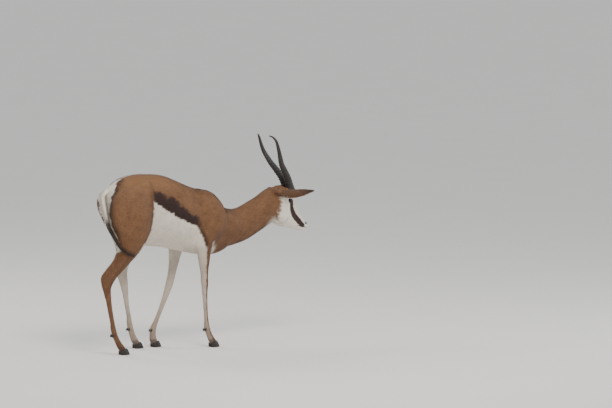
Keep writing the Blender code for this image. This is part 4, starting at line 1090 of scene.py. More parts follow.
def horn(word, side, seed):
    dice = np.random.default_rng(seed)
    count, sides = 250, 36
    base_x, base_z = HORN_BASE
    stations = [(base_x - lean, spread, base_z + rise) for rise, lean, spread in HORN_LINE]
    line = smooth_line(stations, count)
    uneven = dice.uniform(0.75, 1.15, RINGS + 2)
    verts, growth = [], []
    for k, here in enumerate(line):
        share = k / (count - 1)
        tangent = Vector(line[min(k + 1, count - 1)] - line[max(k - 1, 0)]).normalized()
        across = (Vector((0, 1, 0)) - tangent * tangent.y).normalized()
        fore = tangent.cross(across)
        waist = 1 - 0.08 * math.sin(math.pi * share)
        radius = HORN_BASE_RADIUS * (1 - share) ** 0.62 * waist + HORN_TIP_RADIUS
        turns = share / RINGED_SHARE * RINGS + 0.25
        crest = abs(math.sin(math.pi * turns)) ** 2.6 * uneven[min(int(turns), RINGS)]
        fading = float(ramp(RINGED_SHARE + 0.06 - share, 0, 0.12))
        for i in range(sides):
            turn = 2 * math.pi * i / sides
            front = math.cos(turn + 0.35 * side)
            strength = fading * (0.35 + 0.65 * max(0.0, front + 0.35) / 1.35)
            flute = 0.006 * math.sin(turn * 9 + 3 * share) * fading
            swell = 0.955 + RING_SWELL * crest * strength * (1 - 0.35 * share) + flute
            reach = fore * math.cos(turn) + across * HORN_FLATNESS * math.sin(turn)
            point = Vector(here) + reach * radius * swell
            verts.append((point.x, side * point.y, point.z))
            pale_crest = 0.45 * crest * strength * (1 - share)
            dark_middle = 0.1 * (1 - fading) * (1 - share)
            growth.append((pale_crest + 0.32 * share**2 - dark_middle, 0, 0, 1))
    made = mesh_object(f"ringed_horn_{word}", verts, tube_faces(count, sides))
    write_colours(made.data, "growth", np.clip(growth, 0, 1))
    made.data.materials.append(horn_finish)
    placed(made, "horn", f"horn_{word}")


horn("left", 1, 3)
horn("right", -1, 4)

# %% [markdown]
# ## Hooves
# Each foot has two pointed claws with a narrow cleft, and two small dewclaws behind the
# fetlock. Horn grows down from the coronet in low rings, and the soles are flat.

# %% Two claws on each foot
FEET = {
    "front_right": (0.246, 0.075, -1),
    "front_left": (0.009, 0.070, 1),
    "hind_right": (-0.252, 0.080, -1),
    "hind_left": (-0.087, 0.075, 1),
}
CLAW_LENGTH, CLAW_HALF_WIDTH, CLAW_OFFSET = 0.050, 0.0098, 0.0106
CLEFT_HALF = 0.0009  # the two claws of a foot stay this far from its middle
CLAW_RING_SPACING, CLAW_RING_DEPTH = 0.0042, 0.00022
TOE_RISE, CORONET_LEVEL = 0.34, 0.0245
# Level, size and backward lean of the claw's slices, sole to coronet
CLAW_SLICES = [
    (0.0, 0.97, 0.0),
    (0.003, 1.0, -0.001),
    (0.012, 0.95, -0.0055),
    (0.020, 0.85, -0.0100),
    (0.0245, 0.70, -0.0125),
    (0.0258, 0.35, -0.0130),
]


def claw(foot, place):
    x, y, side = FEET[foot]
    away = 1 if place == "outer" else -1
    rings, sides, verts = 30, 48, []
    for height, share, lean in smooth_line(CLAW_SLICES, rings):
        ring = CLAW_RING_DEPTH * math.sin(height * 2 * math.pi / CLAW_RING_SPACING)
        for i in range(sides):
            turn = 2 * math.pi * i / sides
            along, across = math.cos(turn), math.sin(turn)
            reach = CLAW_LENGTH * (0.55 if along > 0 else 0.45)
            taper = 1 - 0.55 * max(0.0, along) ** 2.2
            inward = 0.0022 * max(0.0, along) ** 2
            vx = x + 0.004 + lean * (0.62 + 0.38 * along) + (reach + ring) * along * (0.62 + 0.38 * share)
            half = (CLAW_HALF_WIDTH + ring) * across * taper * (0.4 + 0.6 * share)
            vy = away * (CLAW_OFFSET - inward) + half
            toe = TOE_RISE * (vx - x) * height / CORONET_LEVEL
            vy = away * max(CLEFT_HALF, away * vy)
            verts.append((vx, side * (y + vy), height + toe))
    made = mesh_object(f"claw_{foot}_{place}", verts, tube_faces(rings, sides))
    made.data.set_sharp_from_angle(angle=math.radians(55))
    growth = [(0.10 + 6.0 * v[2] * (1 + 0.5 * math.sin(v[2] * 1500)), 0, 0, 1) for v in verts]
    write_colours(made.data, "growth", np.clip(growth, 0, 1))
    made.data.materials.append(hoof_finish)
    placed(made, "hoof", f"hoof_{foot}_{place}")


for foot in FEET:
    for place in ("inner", "outer"):
        claw(foot, place)


# %% Dewclaws behind the fetlocks
DEWCLAW_RADII = (0.0052, 0.0046, 0.0088)
FETLOCK_RIB = -4  # this rib of a leg, counted from its end, crosses the fetlock


def dewclaws():
    work = bmesh.new()
    for side, ribs in LEGS.values():
        _, (bx, bz), y, _ = ribs[FETLOCK_RIB]
        for away in (-1, 1):
            made = bmesh.ops.create_icosphere(work, subdivisions=4, radius=1)
            place = Matrix.Translation((bx + 0.0030, side * (y + away * 0.0080), bz - 0.010))
            place = place @ Matrix.Rotation(math.radians(35), 4, "Y") @ Matrix.Diagonal((*DEWCLAW_RADII, 1))
            for vert in made["verts"]:
                vert.co.z = max(vert.co.z, -0.82) * (1 + 0.12 * vert.co.x)
            bmesh.ops.transform(work, matrix=place, verts=made["verts"])
    mesh = bpy.data.meshes.new("dewclaws")
    work.to_mesh(mesh)
    work.free()
    mesh.shade_smooth()
    made = in_scene("dewclaws", mesh)
    write_colours(mesh, "growth", np.tile([0.15, 0, 0, 1], (len(mesh.vertices), 1)))
    mesh.materials.append(hoof_finish)
    placed(made, "hoof")


dewclaws()

# %% [markdown]
# ## Eyes
# The eyeball is a dark brown iris with a level, oval pupil under a clear bulging cornea.
# From a few metres it reads as a black glossy ball, so the gloss matters most: a smooth
# shell with a very low roughness takes the window of the studio light.

# %% Two eyeballs
IRIS_SCALE = 900.0  # cells to a metre: threads of the iris about 1.1 mm apart


def eye_finish():
    """A wet eyeball: black sclera rim, brown iris, level pupil, under a clear coat."""
    settings = {"Roughness": 0.06, "IOR": 1.376, "Specular IOR Level": 0.35}
    settings |= {"Coat Weight": 0.2, "Coat Roughness": 0.03}
    material, shader = finish_named("wet brown eye", settings)
    shares = add_node(material, "Attribute", {"attribute_name": "eyeball"})
    split = add_node(material, "SeparateColor", links={"Color": shares.outputs["Color"]})
    place = add_node(material, "TexCoord")
    fine = {"Scale": IRIS_SCALE, "Detail": 3.0}
    threads = add_node(material, "TexNoise", fine, {"Vector": place.outputs["Object"]})
    parts = {0: threads.outputs["Fac"], 2: split.outputs["Red"]}
    rays = add_node(material, "Math", {"operation": "MULTIPLY_ADD", 1: 0.10}, parts)
    iris = add_node(material, "ValToRGB", links={"Fac": rays.outputs["Value"]})
    iris.color_ramp.elements[0].position = 0.30
    iris.color_ramp.elements[0].color = linear("#2E190E")
    iris.color_ramp.elements[1].position = 0.62
    iris.color_ramp.elements[1].color = linear("#0B0806")
    brown = iris.color_ramp.elements.new(0.45)
    brown.color = linear("#3D2314")
    settings = {"data_type": "RGBA", MIX_OVER: linear("#020203")}
    links = {MIX_SHARE: split.outputs["Green"], MIX_UNDER: iris.outputs["Color"]}
    pupil = add_node(material, "Mix", settings, links)
    join(material, pupil.outputs[MIX_RESULT], shader, "Base Color")
    return material


wet_eye = eye_finish()


def eyeball(word, side):
    along, across, out = (Vector(v) for v in eye_axes(side))
    centre = Vector(eye_centre(side))
    rings, sides, verts, shares = 40, 64, [], []
    for k in range(rings):
        polar = math.pi * (k + 0.15) / (rings - 0.7)
        bulge = 1 + 0.035 * max(0.0, 1 - (polar / 0.75) ** 2)
        for i in range(sides):
            turn = 2 * math.pi * i / sides
            flat = along * math.cos(turn) + across * math.sin(turn)
            spoke = out * math.cos(polar) + flat * math.sin(polar)
            verts.append(centre + spoke * EYE_RADIUS * bulge * 0.985)
            a, b = math.sin(polar) * math.cos(turn), math.sin(polar) * math.sin(turn)
            # The pupil lies level, twice as long as it is high
            level = (b * 0.8 + a * 0.6) / 0.15, (a * 0.8 - b * 0.6) / 0.30
            inside = 1 - float(ramp(math.hypot(*level), 0.85, 1.1)) if polar < 1.5 else 0
            shares.append((min(1.0, polar / 1.2), inside, 0, 1))
    made = mesh_object(f"eyeball_{word}", verts, tube_faces(rings, sides))
    write_colours(made.data, "eyeball", shares)
    made.data.materials.append(wet_eye)
    placed(made, "eye", f"eye_{word}")


eyeball("left", 1)
eyeball("right", -1)

# %% [markdown]
# ## Ears
# A springbok's ears are long, narrow and pointed: a sheet of cartilage rolled to a tube
# at its root that opens to a shallow scoop. Here they hang out level and open forward and
# down. The hollow is lined with long white hair, set later with the rest of the coat.

# %% Two rolled ears
EAR_ROOT, EAR_TIP = Vector((0.626, -0.042, 0.722)), Vector((0.7745, -0.144, 0.7225))
# Half width of the opened ear, root to tip
EAR_WIDTHS = [0.0125, 0.0150, 0.0195, 0.0230, 0.0245, 0.0235, 0.0190, 0.0105, 0.0015]
EAR_ROWS, EAR_COLUMNS = 64, 30
EAR_WALL = 0.0022
# The dark of the tip starts early: partly the ear's real dark tip, partly painted shade.
TIP_STARTS, TIP_DARK = 0.58, 0.95  # shares of the length between which the hair darkens


def ear_sheet():
    """Points of the outer and the inner face, their place on the ear, and its opening."""
    axis = (EAR_TIP - EAR_ROOT).normalized()
    level = Vector((-axis.y, axis.x, 0)).normalized()
    opening = level * 0.70 + Vector((0, 0, -0.71))
    opening = (opening - axis * opening.dot(axis)).normalized()
    width_way = axis.cross(opening).normalized()
    length = (EAR_TIP - EAR_ROOT).length
    last = len(EAR_WIDTHS) - 1
    stations = smooth_line([(i / last, w, 0) for i, w in enumerate(EAR_WIDTHS)], EAR_ROWS)
    outer, inner, place = [], [], []
    for share, half, _ in stations:
        share = min(max(share, 0.0), 1.0)
        reach = length * (1.08 * share - 0.08)
        arc = math.radians(300 - 205 * share**0.55)
        radius = max(half, 0.001) / math.sin(min(arc / 2, math.pi / 2))
        droop = 0.010 * math.sin(math.pi * share) - 0.004 * share
        middle = EAR_ROOT + axis * reach - Vector((0, 0, droop)) + opening * radius * 0.55
        wall = EAR_WALL * (1 - 0.5 * share)
        for i in range(EAR_COLUMNS + 1):
            bend = arc * (i / EAR_COLUMNS - 0.5)
            spoke = -opening * math.cos(bend) + width_way * math.sin(bend)
            edge = abs(2 * i / EAR_COLUMNS - 1)
            thin = wall * (1 - 0.75 * edge**6)
            fold = 0.0011 * math.sin(bend * 5 + 5 * share) * math.sin(math.pi * share) * (1 - edge**2)
            outer.append(middle + spoke * (radius + 0.2 * fold))
            inner.append(middle + spoke * max(radius - thin + fold, radius * 0.25))
            place.append((share, 2 * i / EAR_COLUMNS - 1))
    return outer, inner, place, opening


def ear(word, side):
    outer, inner, place, _ = ear_sheet()
    n = EAR_COLUMNS + 1
    verts = [(v.x, -side * v.y, v.z) for v in outer + inner]
    shift, faces = EAR_ROWS * n, []
    for r in range(EAR_ROWS - 1):
        for i in range(EAR_COLUMNS):
            a, b, c, d = r * n + i, r * n + i + 1, (r + 1) * n + i + 1, (r + 1) * n + i
            faces += [[a, b, c, d], [shift + a, shift + d, shift + c, shift + b]]
        for i in (0, EAR_COLUMNS):
            a, d = r * n + i, (r + 1) * n + i
            faces.append([a, d, shift + d, shift + a])
    last = (EAR_ROWS - 1) * n
    for i in range(EAR_COLUMNS):
        faces.append([i, i + 1, shift + i + 1, shift + i])
        faces.append([last + i, last + i + 1, shift + last + i + 1, shift + last + i])
    made = mesh_object(f"rolled_ear_{word}", verts, faces)
    shares = []
    for inside in (0, 1):
        for share, edge in place:
            rim = max(0.0, (abs(edge) - 0.86) / 0.14) ** 2
            tip = float(ramp(share, TIP_STARTS, TIP_DARK))
            if inside:
                hollow = 0.28 * (1 - abs(edge)) * (1 - share)
                shares.append((0.55 + 0.45 * rim, 0.45 * tip, hollow, 0.25))
            else:
                # The outside is chocolate all over and low in lightness, which is painted shade; the extra
                # dark toward the tip is the ear's real dark tip.
                shares.append((0.75 * rim * (1 - tip), (0.45 + 0.50 * tip) * (1 - rim), 0, 0.35))
    write_colours(made.data, "coat_marks_and_painted_light", shares)
    made.data.materials.append(hide_finish)
    placed(made, "hide", f"ear_{word}")


ear("left", 1)
ear("right", -1)

# %% [markdown]
# ## Tail
# The tail is thin and white, with a crest of black hair that grows to a tuft. It hangs
# down the rump and swings round the back of the right thigh. The core is a loft; the
# hair goes on with the coat.

# %% The tail's core
TAIL_LINE = [
    (-0.286, 0.000, 0.772),
    (-0.309, 0.001, 0.757),
    (-0.314, 0.002, 0.736),
    (-0.312, -0.012, 0.687),
    (-0.310, -0.036, 0.632),
    (-0.320, -0.070, 0.606),
    (-0.323, -0.097, 0.586),
    (-0.313, -0.110, 0.562),
    (-0.303, -0.115, 0.542),
    (-0.293, -0.121, 0.519),
    (-0.266, -0.129, 0.497),
    (-0.205, -0.119, 0.469),
]
TAIL_CORE_SHARE = 0.80  # the rest of the line is hair alone
TAIL_ROOT_HALF, TAIL_END_HALF = 0.0150, 0.0035
TAIL_FLATNESS = 0.62  # depth of the core over its width
tail_path = smooth_line(TAIL_LINE, 240)


def tail_half(share):
    return TAIL_ROOT_HALF * (1 - share) + TAIL_END_HALF * share


def tail_core():
    rows = tail_path[: int(len(tail_path) * TAIL_CORE_SHARE) : 2]
    sides, verts, shares = 24, [], []
    for k, point in enumerate(rows):
        share = k / (len(rows) - 1)
        tangent = Vector(rows[min(k + 1, len(rows) - 1)] - rows[max(k - 1, 0)]).normalized()
        lean = float(ramp(share, 0.3, 0.7)) * 0.5
        sideways = Vector((lean, 1, 0))
        across = (sideways - tangent * tangent.dot(sideways)).normalized()
        deep = tangent.cross(across)
        half = tail_half(share) * min(1.0, 12 * (1.02 - share))
        black = float(ramp(share, 0.42, 0.62))
        for i in range(sides):
            turn = 2 * math.pi * i / sides
            flat = across * half * math.cos(turn)
            verts.append(Vector(point) + flat + deep * half * TAIL_FLATNESS * math.sin(turn))
            shares.append((1 - black, 0, black, 0.6))
    made = mesh_object("tail_core", verts, tube_faces(len(rows), sides))
    write_colours(made.data, "coat_marks_and_painted_light", shares)
    made.data.materials.append(hide_finish)
    placed(made, "tail_hair", "tail")


tail_core()

# %% [markdown]
# ## The coat
# Here the hair is 9 to 15 mm long on the body and half that on face and legs. It lies
# flat, from the nose back to the tail and down the legs, so most of it is the bump of
# the hide. Over it go thin blades of five points, each a small tuft that follows the lie
# of the hair. Seen edge on, they break the outline as real hair does.

# %% Which way the hair lies
def lie_of_hair(points, normals):
    """The direction of the hair at points on the skin, along the surface."""
    x, y, z = points.T
    side = np.sign(y)
    flow = np.zeros_like(points)
    down = ramp(0.62 - z, 0, 0.16) * (x < 0.42)
    flank = ramp(np.abs(y), 0.03, 0.10)
    flow[:, 0] = -1 + 0.85 * down
    flow[:, 2] = -0.28 * flank - 1.0 * down
    neck = ramp(x, 0.28, 0.42)
    flow = flow * (1 - neck)[:, None] + neck[:, None] * np.array([-0.93, 0, -0.36])
    head = ramp(x, 0.61, 0.68)
    jaw = ramp(0.62 - z - 0.8 * (x - 0.70), -0.02, 0.04)
    face = np.stack([-0.66 - 0.3 * jaw, 0.12 * side, 0.75 - 0.65 * jaw], 1)
    flow = flow * (1 - head)[:, None] + face * head[:, None]
    seat = ramp(-0.235 - x, 0, 0.03) * ramp(z, 0.50, 0.60)
    down_the_rump = np.stack([np.full_like(x, -0.25), 0.55 * side, np.full_like(x, -0.9)], 1)
    flow = flow * (1 - seat)[:, None] + seat[:, None] * down_the_rump
    shift = 0.16 * waver(points, 0.05)
    flow = flow + np.stack([np.zeros_like(x), 0.2 * shift * side, shift], 1)
    flow -= normals * (flow * normals).sum(1)[:, None]
    return flow / np.maximum(np.linalg.norm(flow, axis=1), 1e-6)[:, None]


# %% Where a point lies on the flat map of the coat
BODY_REAR, BODY_LENGTH = -0.38, 1.21
BODY_MIDDLE = [(-0.30, 0.70), (0.10, 0.64), (0.35, 0.57), (0.60, 0.65), (0.70, 0.63), (0.80, 0.54)]
LEG_TOP, LEG_APART = 0.43, 0.077
LEG_MIDDLES = np.array([-0.27, 0.20, -0.13, 0.04])  # right hind, right fore, left hind, left fore


def unwrapped(points):
    """Places of skin points on a flat map: the body rolled out above, the legs below."""
    x, y, z = points.T
    middle = line_at(x, BODY_MIDDLE)
    u = 0.02 + 0.96 * (x - BODY_REAR) / BODY_LENGTH
    v = 0.44 + 0.54 * (np.arctan2(y, z - middle) / (2 * math.pi) + 0.5)
    leg_number = 2 * (y > 0) + (np.where(y > 0, x > -0.02, x > 0.05))
    axis_x = LEG_MIDDLES[leg_number.astype(int)]
    turn = np.arctan2(np.abs(y) - LEG_APART, x - axis_x) / (2 * math.pi) + 0.5
    on_leg = (z < LEG_TOP) & (x < 0.42)
    u = np.where(on_leg, 0.02 + 0.245 * leg_number + 0.21 * turn, u)
    v = np.where(on_leg, 0.02 + 0.38 * z / LEG_TOP, v)
    return np.stack([u, v], 1)


# %% Blades of hair, all at once
def laid_on(surface, points):
    """The nearest places on the skin, so that hair follows its hollows, and the normals."""
    flat = points.reshape(-1, 3)
    places, ways = np.empty_like(flat), np.empty_like(flat)
    for i, point in enumerate(flat.tolist()):
        places[i], ways[i] = surface.find_nearest(point)[:2]
    return places.reshape(points.shape), ways.reshape(points.shape)


BLADE_STEPS = np.array([0.0, 0.5, 1.0])
ROOT_DEPTH = 0.0005  # a blade starts this far under the skin
MAP_HALF_WIDTH, MAP_LENGTH = 0.0014, 0.0030  # a blade's patch on the flat map


def blades(
    name, roots, normals, flow, length, width, lift, shares, patches, slot_name,
    steps=BLADE_STEPS, droop=None, surface=None,
):
    """One mesh of tapered blades: each starts in the skin, follows flow and ends in a tip."""
    count, rows = len(roots), len(steps)
    across = np.cross(flow, normals)
    rise = np.zeros((count, rows)) + lift[:, None] * steps**0.8
    path = roots[:, None] + flow[:, None] * (length[:, None] * steps)[:, :, None]
    if droop is not None:
        path = path + droop[:, None] * (steps**2)[None, :, None]
    ways = np.repeat(normals[:, None], rows, 1)
    if surface is not None:
        path[:, 1:], ways[:, 1:] = laid_on(surface, path[:, 1:])
    path = path + ways * (rise * length[:, None] - ROOT_DEPTH)[:, :, None]
    taper = np.array([0.8, *(1 - 0.55 * steps[1:-1] ** 1.5)])
    half = (width / 2)[:, None, None, None]
    sides = np.stack([-taper, taper], 1)[None, :, :, None] * half * across[:, None, None]
    verts = (path[:, :-1, None] + sides).reshape(count, -1, 3)
    verts = np.concatenate([verts, path[:, -1:]], 1)
    per = 2 * (rows - 1) + 1
    triangles = []
    for k in range(rows - 2):
        triangles += [[2 * k, 2 * k + 1, 2 * k + 2], [2 * k + 1, 2 * k + 3, 2 * k + 2]]
    triangles.append([per - 3, per - 2, per - 1])
    faces = (np.array(triangles)[None] + per * np.arange(count)[:, None, None]).reshape(-1, 3)
    mesh = bpy.data.meshes.new(name)
    mesh.vertices.add(count * per)
    mesh.vertices.foreach_set("co", verts.astype(np.float32).ravel())
    mesh.loops.add(len(faces) * 3)
    mesh.loops.foreach_set("vertex_index", faces.astype(np.int32).ravel())
    mesh.polygons.add(len(faces))
    mesh.polygons.foreach_set("loop_start", np.arange(0, len(faces) * 3, 3, dtype=np.int32))
    mesh.update(calc_edges=True)
    tone = np.repeat(shares[:, None], per, 1)
    place = np.concatenate([np.repeat(steps[:-1], 2), [1.0]])
    tone[:, :, 3] = np.clip(tone[:, :, 3] + 0.22 * (place - 0.45), 0, 1)
    write_colours(mesh, "coat_marks_and_painted_light", tone.reshape(-1, 4))
    map_sides = np.tile([-MAP_HALF_WIDTH, MAP_HALF_WIDTH], rows - 1) * np.repeat(taper, 2)
    patch = np.stack([map_sides, MAP_LENGTH * (place[:-1] - 0.5)], 1)
    patch = np.vstack([patch, [0, MAP_LENGTH / 2]])
    uv = (patches[:, None] + patch[None]).reshape(-1, 2)
    layer = mesh.uv_layers.new(name="OFBake")
    layer.uv.foreach_set("vector", uv[faces.ravel()].astype(np.float32).ravel())
    mesh.shade_smooth()
    tilt = np.repeat(normals + dice.normal(0, 0.10, normals.shape), per, 0)
    tilt /= np.linalg.norm(tilt, axis=1)[:, None]
    mesh.normals_split_custom_set_from_vertices(tilt)
    made = in_scene(name, mesh)
    mesh.materials.append(hide_finish)
    placed(made, slot_name)


# %% Where the tufts grow
def scattered(mesh, density):
    """Random roots on a mesh, with their normals: density is tufts a square metre."""
    mesh.calc_loop_triangles()
    corners = np.empty(len(mesh.loop_triangles) * 3, np.int32)
    mesh.loop_triangles.foreach_get("vertices", corners)
    corners = corners.reshape(-1, 3)
    points, normals = points_of(mesh), normals_of(mesh)
    a, b, c = (points[corners[:, k]] for k in range(3))
    area = np.linalg.norm(np.cross(b - a, c - a), axis=1) / 2
    wanted = area * density((a + b + c) / 3)
    counts = np.floor(wanted + dice.uniform(0, 1, len(wanted))).astype(int)
    chosen = np.repeat(np.arange(len(area)), counts)
    s, t = dice.uniform(0, 1, (2, len(chosen)))
    flip = s + t > 1
    s, t = np.where(flip, 1 - s, s), np.where(flip, 1 - t, t)
    weights = np.stack([1 - s - t, s, t], 1)[:, :, None]
    roots = (points[corners[chosen]] * weights).sum(1)
    found = (normals[corners[chosen]] * weights).sum(1)
    return roots, found / np.linalg.norm(found, axis=1)[:, None]


def fineness(points):
    """0 where the tufts are full size, on the body, to 1 on the face and the feet."""
    x, _, z = points.T
    return np.maximum(ramp(x, 0.60, 0.69), ramp(0.50 - z, 0, 0.28) * (x < 0.42))


BODY_TUFTS, FINE_TUFTS, FACE_TUFTS = 185000, 190000, 420000  # a square metre, added up
EYE_BARE, LIPS_BARE = 0.0195, 0.0022  # metres without tufts round the eye and the mouth


def tuft_density(points):
    x, _, z = points.T
    bare = near(points, EYE_CENTRE, EYE_BARE) | ((x > 0.803) & (z > 0.532)) | (z < 0.030)
    level, share = mouth_distance(points)
    bare = bare | ((np.abs(level) < LIPS_BARE) & (share > -0.02) & (x > 0.70))
    wanted = BODY_TUFTS + FINE_TUFTS * fineness(points) + FACE_TUFTS * ramp(x, 0.60, 0.69)
    return np.where(bare, 0, wanted)


# %% Tufts over the whole body
BODY_HAIR, FINE_HAIR = 0.0125, 0.0056  # lengths on the body, and on face and feet
RUMP_EXTRA, BELLY_EXTRA = 0.011, 0.003
BODY_WIDTH, FINE_WIDTH = 0.0023, 0.0012  # widths of a tuft
PIECES = 5  # keeps each piece of the coat under 200,000 triangles

roots, out = scattered(skin.data, tuft_density)
order = np.argsort(roots[:, 0] + 0.02 * dice.uniform(0, 1, len(roots)), kind="stable")
roots, out = roots[order], out[order]
fine = fineness(roots)
inside_rump = line_at(roots[:, 2], RUMP_EDGE) - np.abs(roots[:, 1])
rump_hair = ramp(inside_rump, -0.004, 0.012) * ramp(-0.21 - roots[:, 0], 0, 0.03)
rump_hair = rump_hair * (roots[:, 2] > 0.53)
belly_hair = ramp(0.52 - roots[:, 2], 0, 0.05) * ramp(-out[:, 2], 0.3, 0.8)
belly_hair = belly_hair * (roots[:, 0] < 0.36) * (roots[:, 2] > 0.42)
length = BODY_HAIR * (1 - fine) + FINE_HAIR * fine + RUMP_EXTRA * rump_hair + BELLY_EXTRA * belly_hair
length = length * dice.uniform(0.72, 1.25, len(roots))
length = np.where(roots[:, 0] > 0.69, length * 0.80, length)
width = BODY_WIDTH * (1 - fine) + FINE_WIDTH * fine
lift = 0.13 + 0.05 * rump_hair + 0.09 * dice.uniform(-1, 1, len(roots)) ** 3
flow = lie_of_hair(roots, out)
swing = dice.normal(0, 0.16, len(roots))[:, None]
flow = flow * np.cos(swing) + np.cross(out, flow) * np.sin(swing)
shares = coat_marks_and_painted_light(roots, out)
shares[:, 3] = np.clip(shares[:, 3] + dice.normal(0, 0.13, len(roots)), 0, 1)
patches = unwrapped(roots)
skin_faces = [list(polygon.vertices) for polygon in skin.data.polygons]
skin_surface = BVHTree.FromPolygons(points_of(skin.data).tolist(), skin_faces)
for k in range(PIECES):
    part = slice(k * len(roots) // PIECES, (k + 1) * len(roots) // PIECES)
    blades(
        f"coat_{k + 1}", roots[part], out[part], flow[part], length[part], width[part],
        lift[part], shares[part], patches[part], "hide", surface=skin_surface,
    )
print("tufts on the body:", len(roots))

# %% [markdown]
# The tail carries a crest of black hair that ends in a tuft, and the ears are lined with
# long white hair that grows from their edges in toward the tip.

# %% Hair of the tail
TAIL_TUFTS, TAIL_TUFT_WIDTH = 5200, 0.0017
TAIL_STEPS = np.array([0.0, 0.22, 0.45, 0.7, 1.0])  # long blades bend in more places


def tail_hair():
    count = TAIL_TUFTS
    share = dice.uniform(0.02, 0.94, count) ** 0.85
    crest = ramp(share, 0.30, 0.62)
    at = share * TAIL_CORE_SHARE * 1.04 * (len(tail_path) - 2)
    low = np.floor(at).astype(int)
    here = tail_path[low] + (tail_path[low + 1] - tail_path[low]) * (at - low)[:, None]
    along = tail_path[np.minimum(low + 4, len(tail_path) - 1)] - tail_path[low]
    along /= np.linalg.norm(along, axis=1)[:, None]
    sideways = np.cross(along, [-0.55, -0.83, 0.1])
    sideways /= np.linalg.norm(sideways, axis=1)[:, None]
    deep = np.cross(sideways, along)
    turn = dice.uniform(0, 2 * math.pi, count)
    out = sideways * np.cos(turn)[:, None] + deep * np.sin(turn)[:, None]
    half = tail_half(share)
    oval = np.sqrt(np.cos(turn) ** 2 + (TAIL_FLATNESS * np.sin(turn)) ** 2)
    root = here + out * (half * oval)[:, None]
    length = 0.013 + 0.040 * ramp(share, 0.45, 0.80) + 0.030 * ramp(share, 0.80, 0.94)
    length = length * dice.uniform(0.7, 1.15, count)
    step = np.linalg.norm(tail_path[1] - tail_path[0])
    ahead = np.minimum((at + length / step).astype(int), len(tail_path) - 1)
    end = tail_path[ahead] + out * (half + 0.003 * dice.uniform(0, 1, count) * (1 - share))[:, None]
    straight = root + along * length[:, None]
    droop = (end - straight) * ramp(share, 0.25, 0.5)[:, None] * 0.92
    black = np.clip(crest * 1.15 - 0.25 * (np.sin(turn) > 0.3) * (share < 0.6), 0, 1)
    light = 0.55 + 0.2 * dice.uniform(-1, 1, count)
    shares = np.stack([1 - black, 0.25 * black, 0.85 * black, light], 1)
    patches = np.stack([0.02 + 0.96 * share, 0.02 + 0.96 * turn / (2 * math.pi)], 1)
    width, lift = np.full(count, TAIL_TUFT_WIDTH), 0.13 - 0.09 * crest
    blades(
        "tail_hair", root, out, along, length, width,
        lift, shares, patches, "tail_hair", TAIL_STEPS, droop,
    )


tail_hair()

# %% Hair of the ears
OUTSIDE_TUFTS, LINING_TUFTS = 5200, 2600
EAR_TUFT_WIDTH = 0.0013


def ear_hair(word, side):
    outer, inner, _, opening = ear_sheet()
    outer, inner, opening = np.array(outer), np.array(inner), np.array(opening)
    flip = np.array([1, -side, 1])
    axis = np.array(EAR_TIP - EAR_ROOT)
    axis /= np.linalg.norm(axis)
    n, middle = EAR_COLUMNS + 1, EAR_COLUMNS // 2
    for inside, count, name in ((False, OUTSIDE_TUFTS, "outside"), (True, LINING_TUFTS, "lining")):
        sheet = inner if inside else outer
        row = dice.uniform(2, EAR_ROWS - 4, count)
        if inside:
            edge = np.sign(dice.uniform(-1, 1, count)) * (0.93 - 0.45 * dice.uniform(0, 1, count) ** 1.6)
        else:
            edge = dice.uniform(-1, 1, count)
        column = (edge + 1) / 2 * (EAR_COLUMNS - 0.02)
        r0, c0 = row.astype(int), column.astype(int)
        dr, dc = (row - r0)[:, None], (column - c0)[:, None]
        corner = [sheet[(r0 + i) * n + c0 + j] for i, j in ((0, 0), (0, 1), (1, 0), (1, 1))]
        low_edge = corner[0] * (1 - dc) + corner[1] * dc
        high_edge = corner[2] * (1 - dc) + corner[3] * dc
        root = low_edge * (1 - dr) + high_edge * dr
        out = np.cross(corner[1] - corner[0], corner[2] - corner[0])
        out /= np.maximum(np.linalg.norm(out, axis=1), 1e-9)[:, None]
        spine = outer[r0 * n + middle] + opening * 0.02
        wrong = ((root - spine) * out).sum(1) < 0
        out[wrong] *= -1
        if inside:
            out = -out
        share, edge = row / (EAR_ROWS - 1), np.abs(edge)
        flow = np.tile(axis, (count, 1))
        if inside:
            centre = sheet[r0 * n + middle] - root
            centre /= np.maximum(np.linalg.norm(centre, axis=1), 1e-6)[:, None]
            flow = flow * 0.9 + centre * 0.25 + opening * 0.35
        flow -= out * (flow * out).sum(1)[:, None]
        flow = flow + dice.normal(0, 0.10, flow.shape)
        flow /= np.linalg.norm(flow, axis=1)[:, None]
        tip = ramp(share, TIP_STARTS, TIP_DARK)
        if inside:
            length = (0.018 - 0.010 * tip) * dice.uniform(0.6, 1.2, count)
            white, brown, light = 0.95 - 0.6 * tip, 0.5 * tip, np.full(count, 0.75)
            lift = 0.22 + 0.1 * dice.uniform(-1, 1, count)
        else:
            length = (0.0065 - 0.002 * tip) * dice.uniform(0.7, 1.2, count)
            rim = ramp(edge, 0.95, 1.0)
            # Outside hair is chocolate all over and low in lightness, which is painted shade; the extra dark
            # toward the tip is the ear's real dark tip.
            white, brown = 0.7 * rim * (1 - tip), (0.45 + 0.5 * tip) * (1 - rim)
            light = 0.35 + 0.12 * dice.normal(0, 1, count)
            lift = np.full(count, 0.10)
        shares = np.clip(np.stack([white, brown, np.zeros(count), light], 1), 0, 1)
        length = np.minimum(length, (1.0 - share) * 0.18 + 0.003)
        patches = np.stack([0.03 + 0.94 * share, 0.03 + 0.94 * column / EAR_COLUMNS], 1)
        width = np.full(count, EAR_TUFT_WIDTH)
        blades(
            f"ear_{name}_{word}", root * flip, out * flip, flow * flip, length, width,
            lift, shares, patches, "hide",
        )


ear_hair("left", 1)
ear_hair("right", -1)

# %% [markdown]
# The hair above was laid on the skin while both lay in the drawing. Now the skin follows
# into the frame, where it stands for trunk, neck, head and legs.

# %% The skin takes its place
placed(skin, "hide", *FLESH)

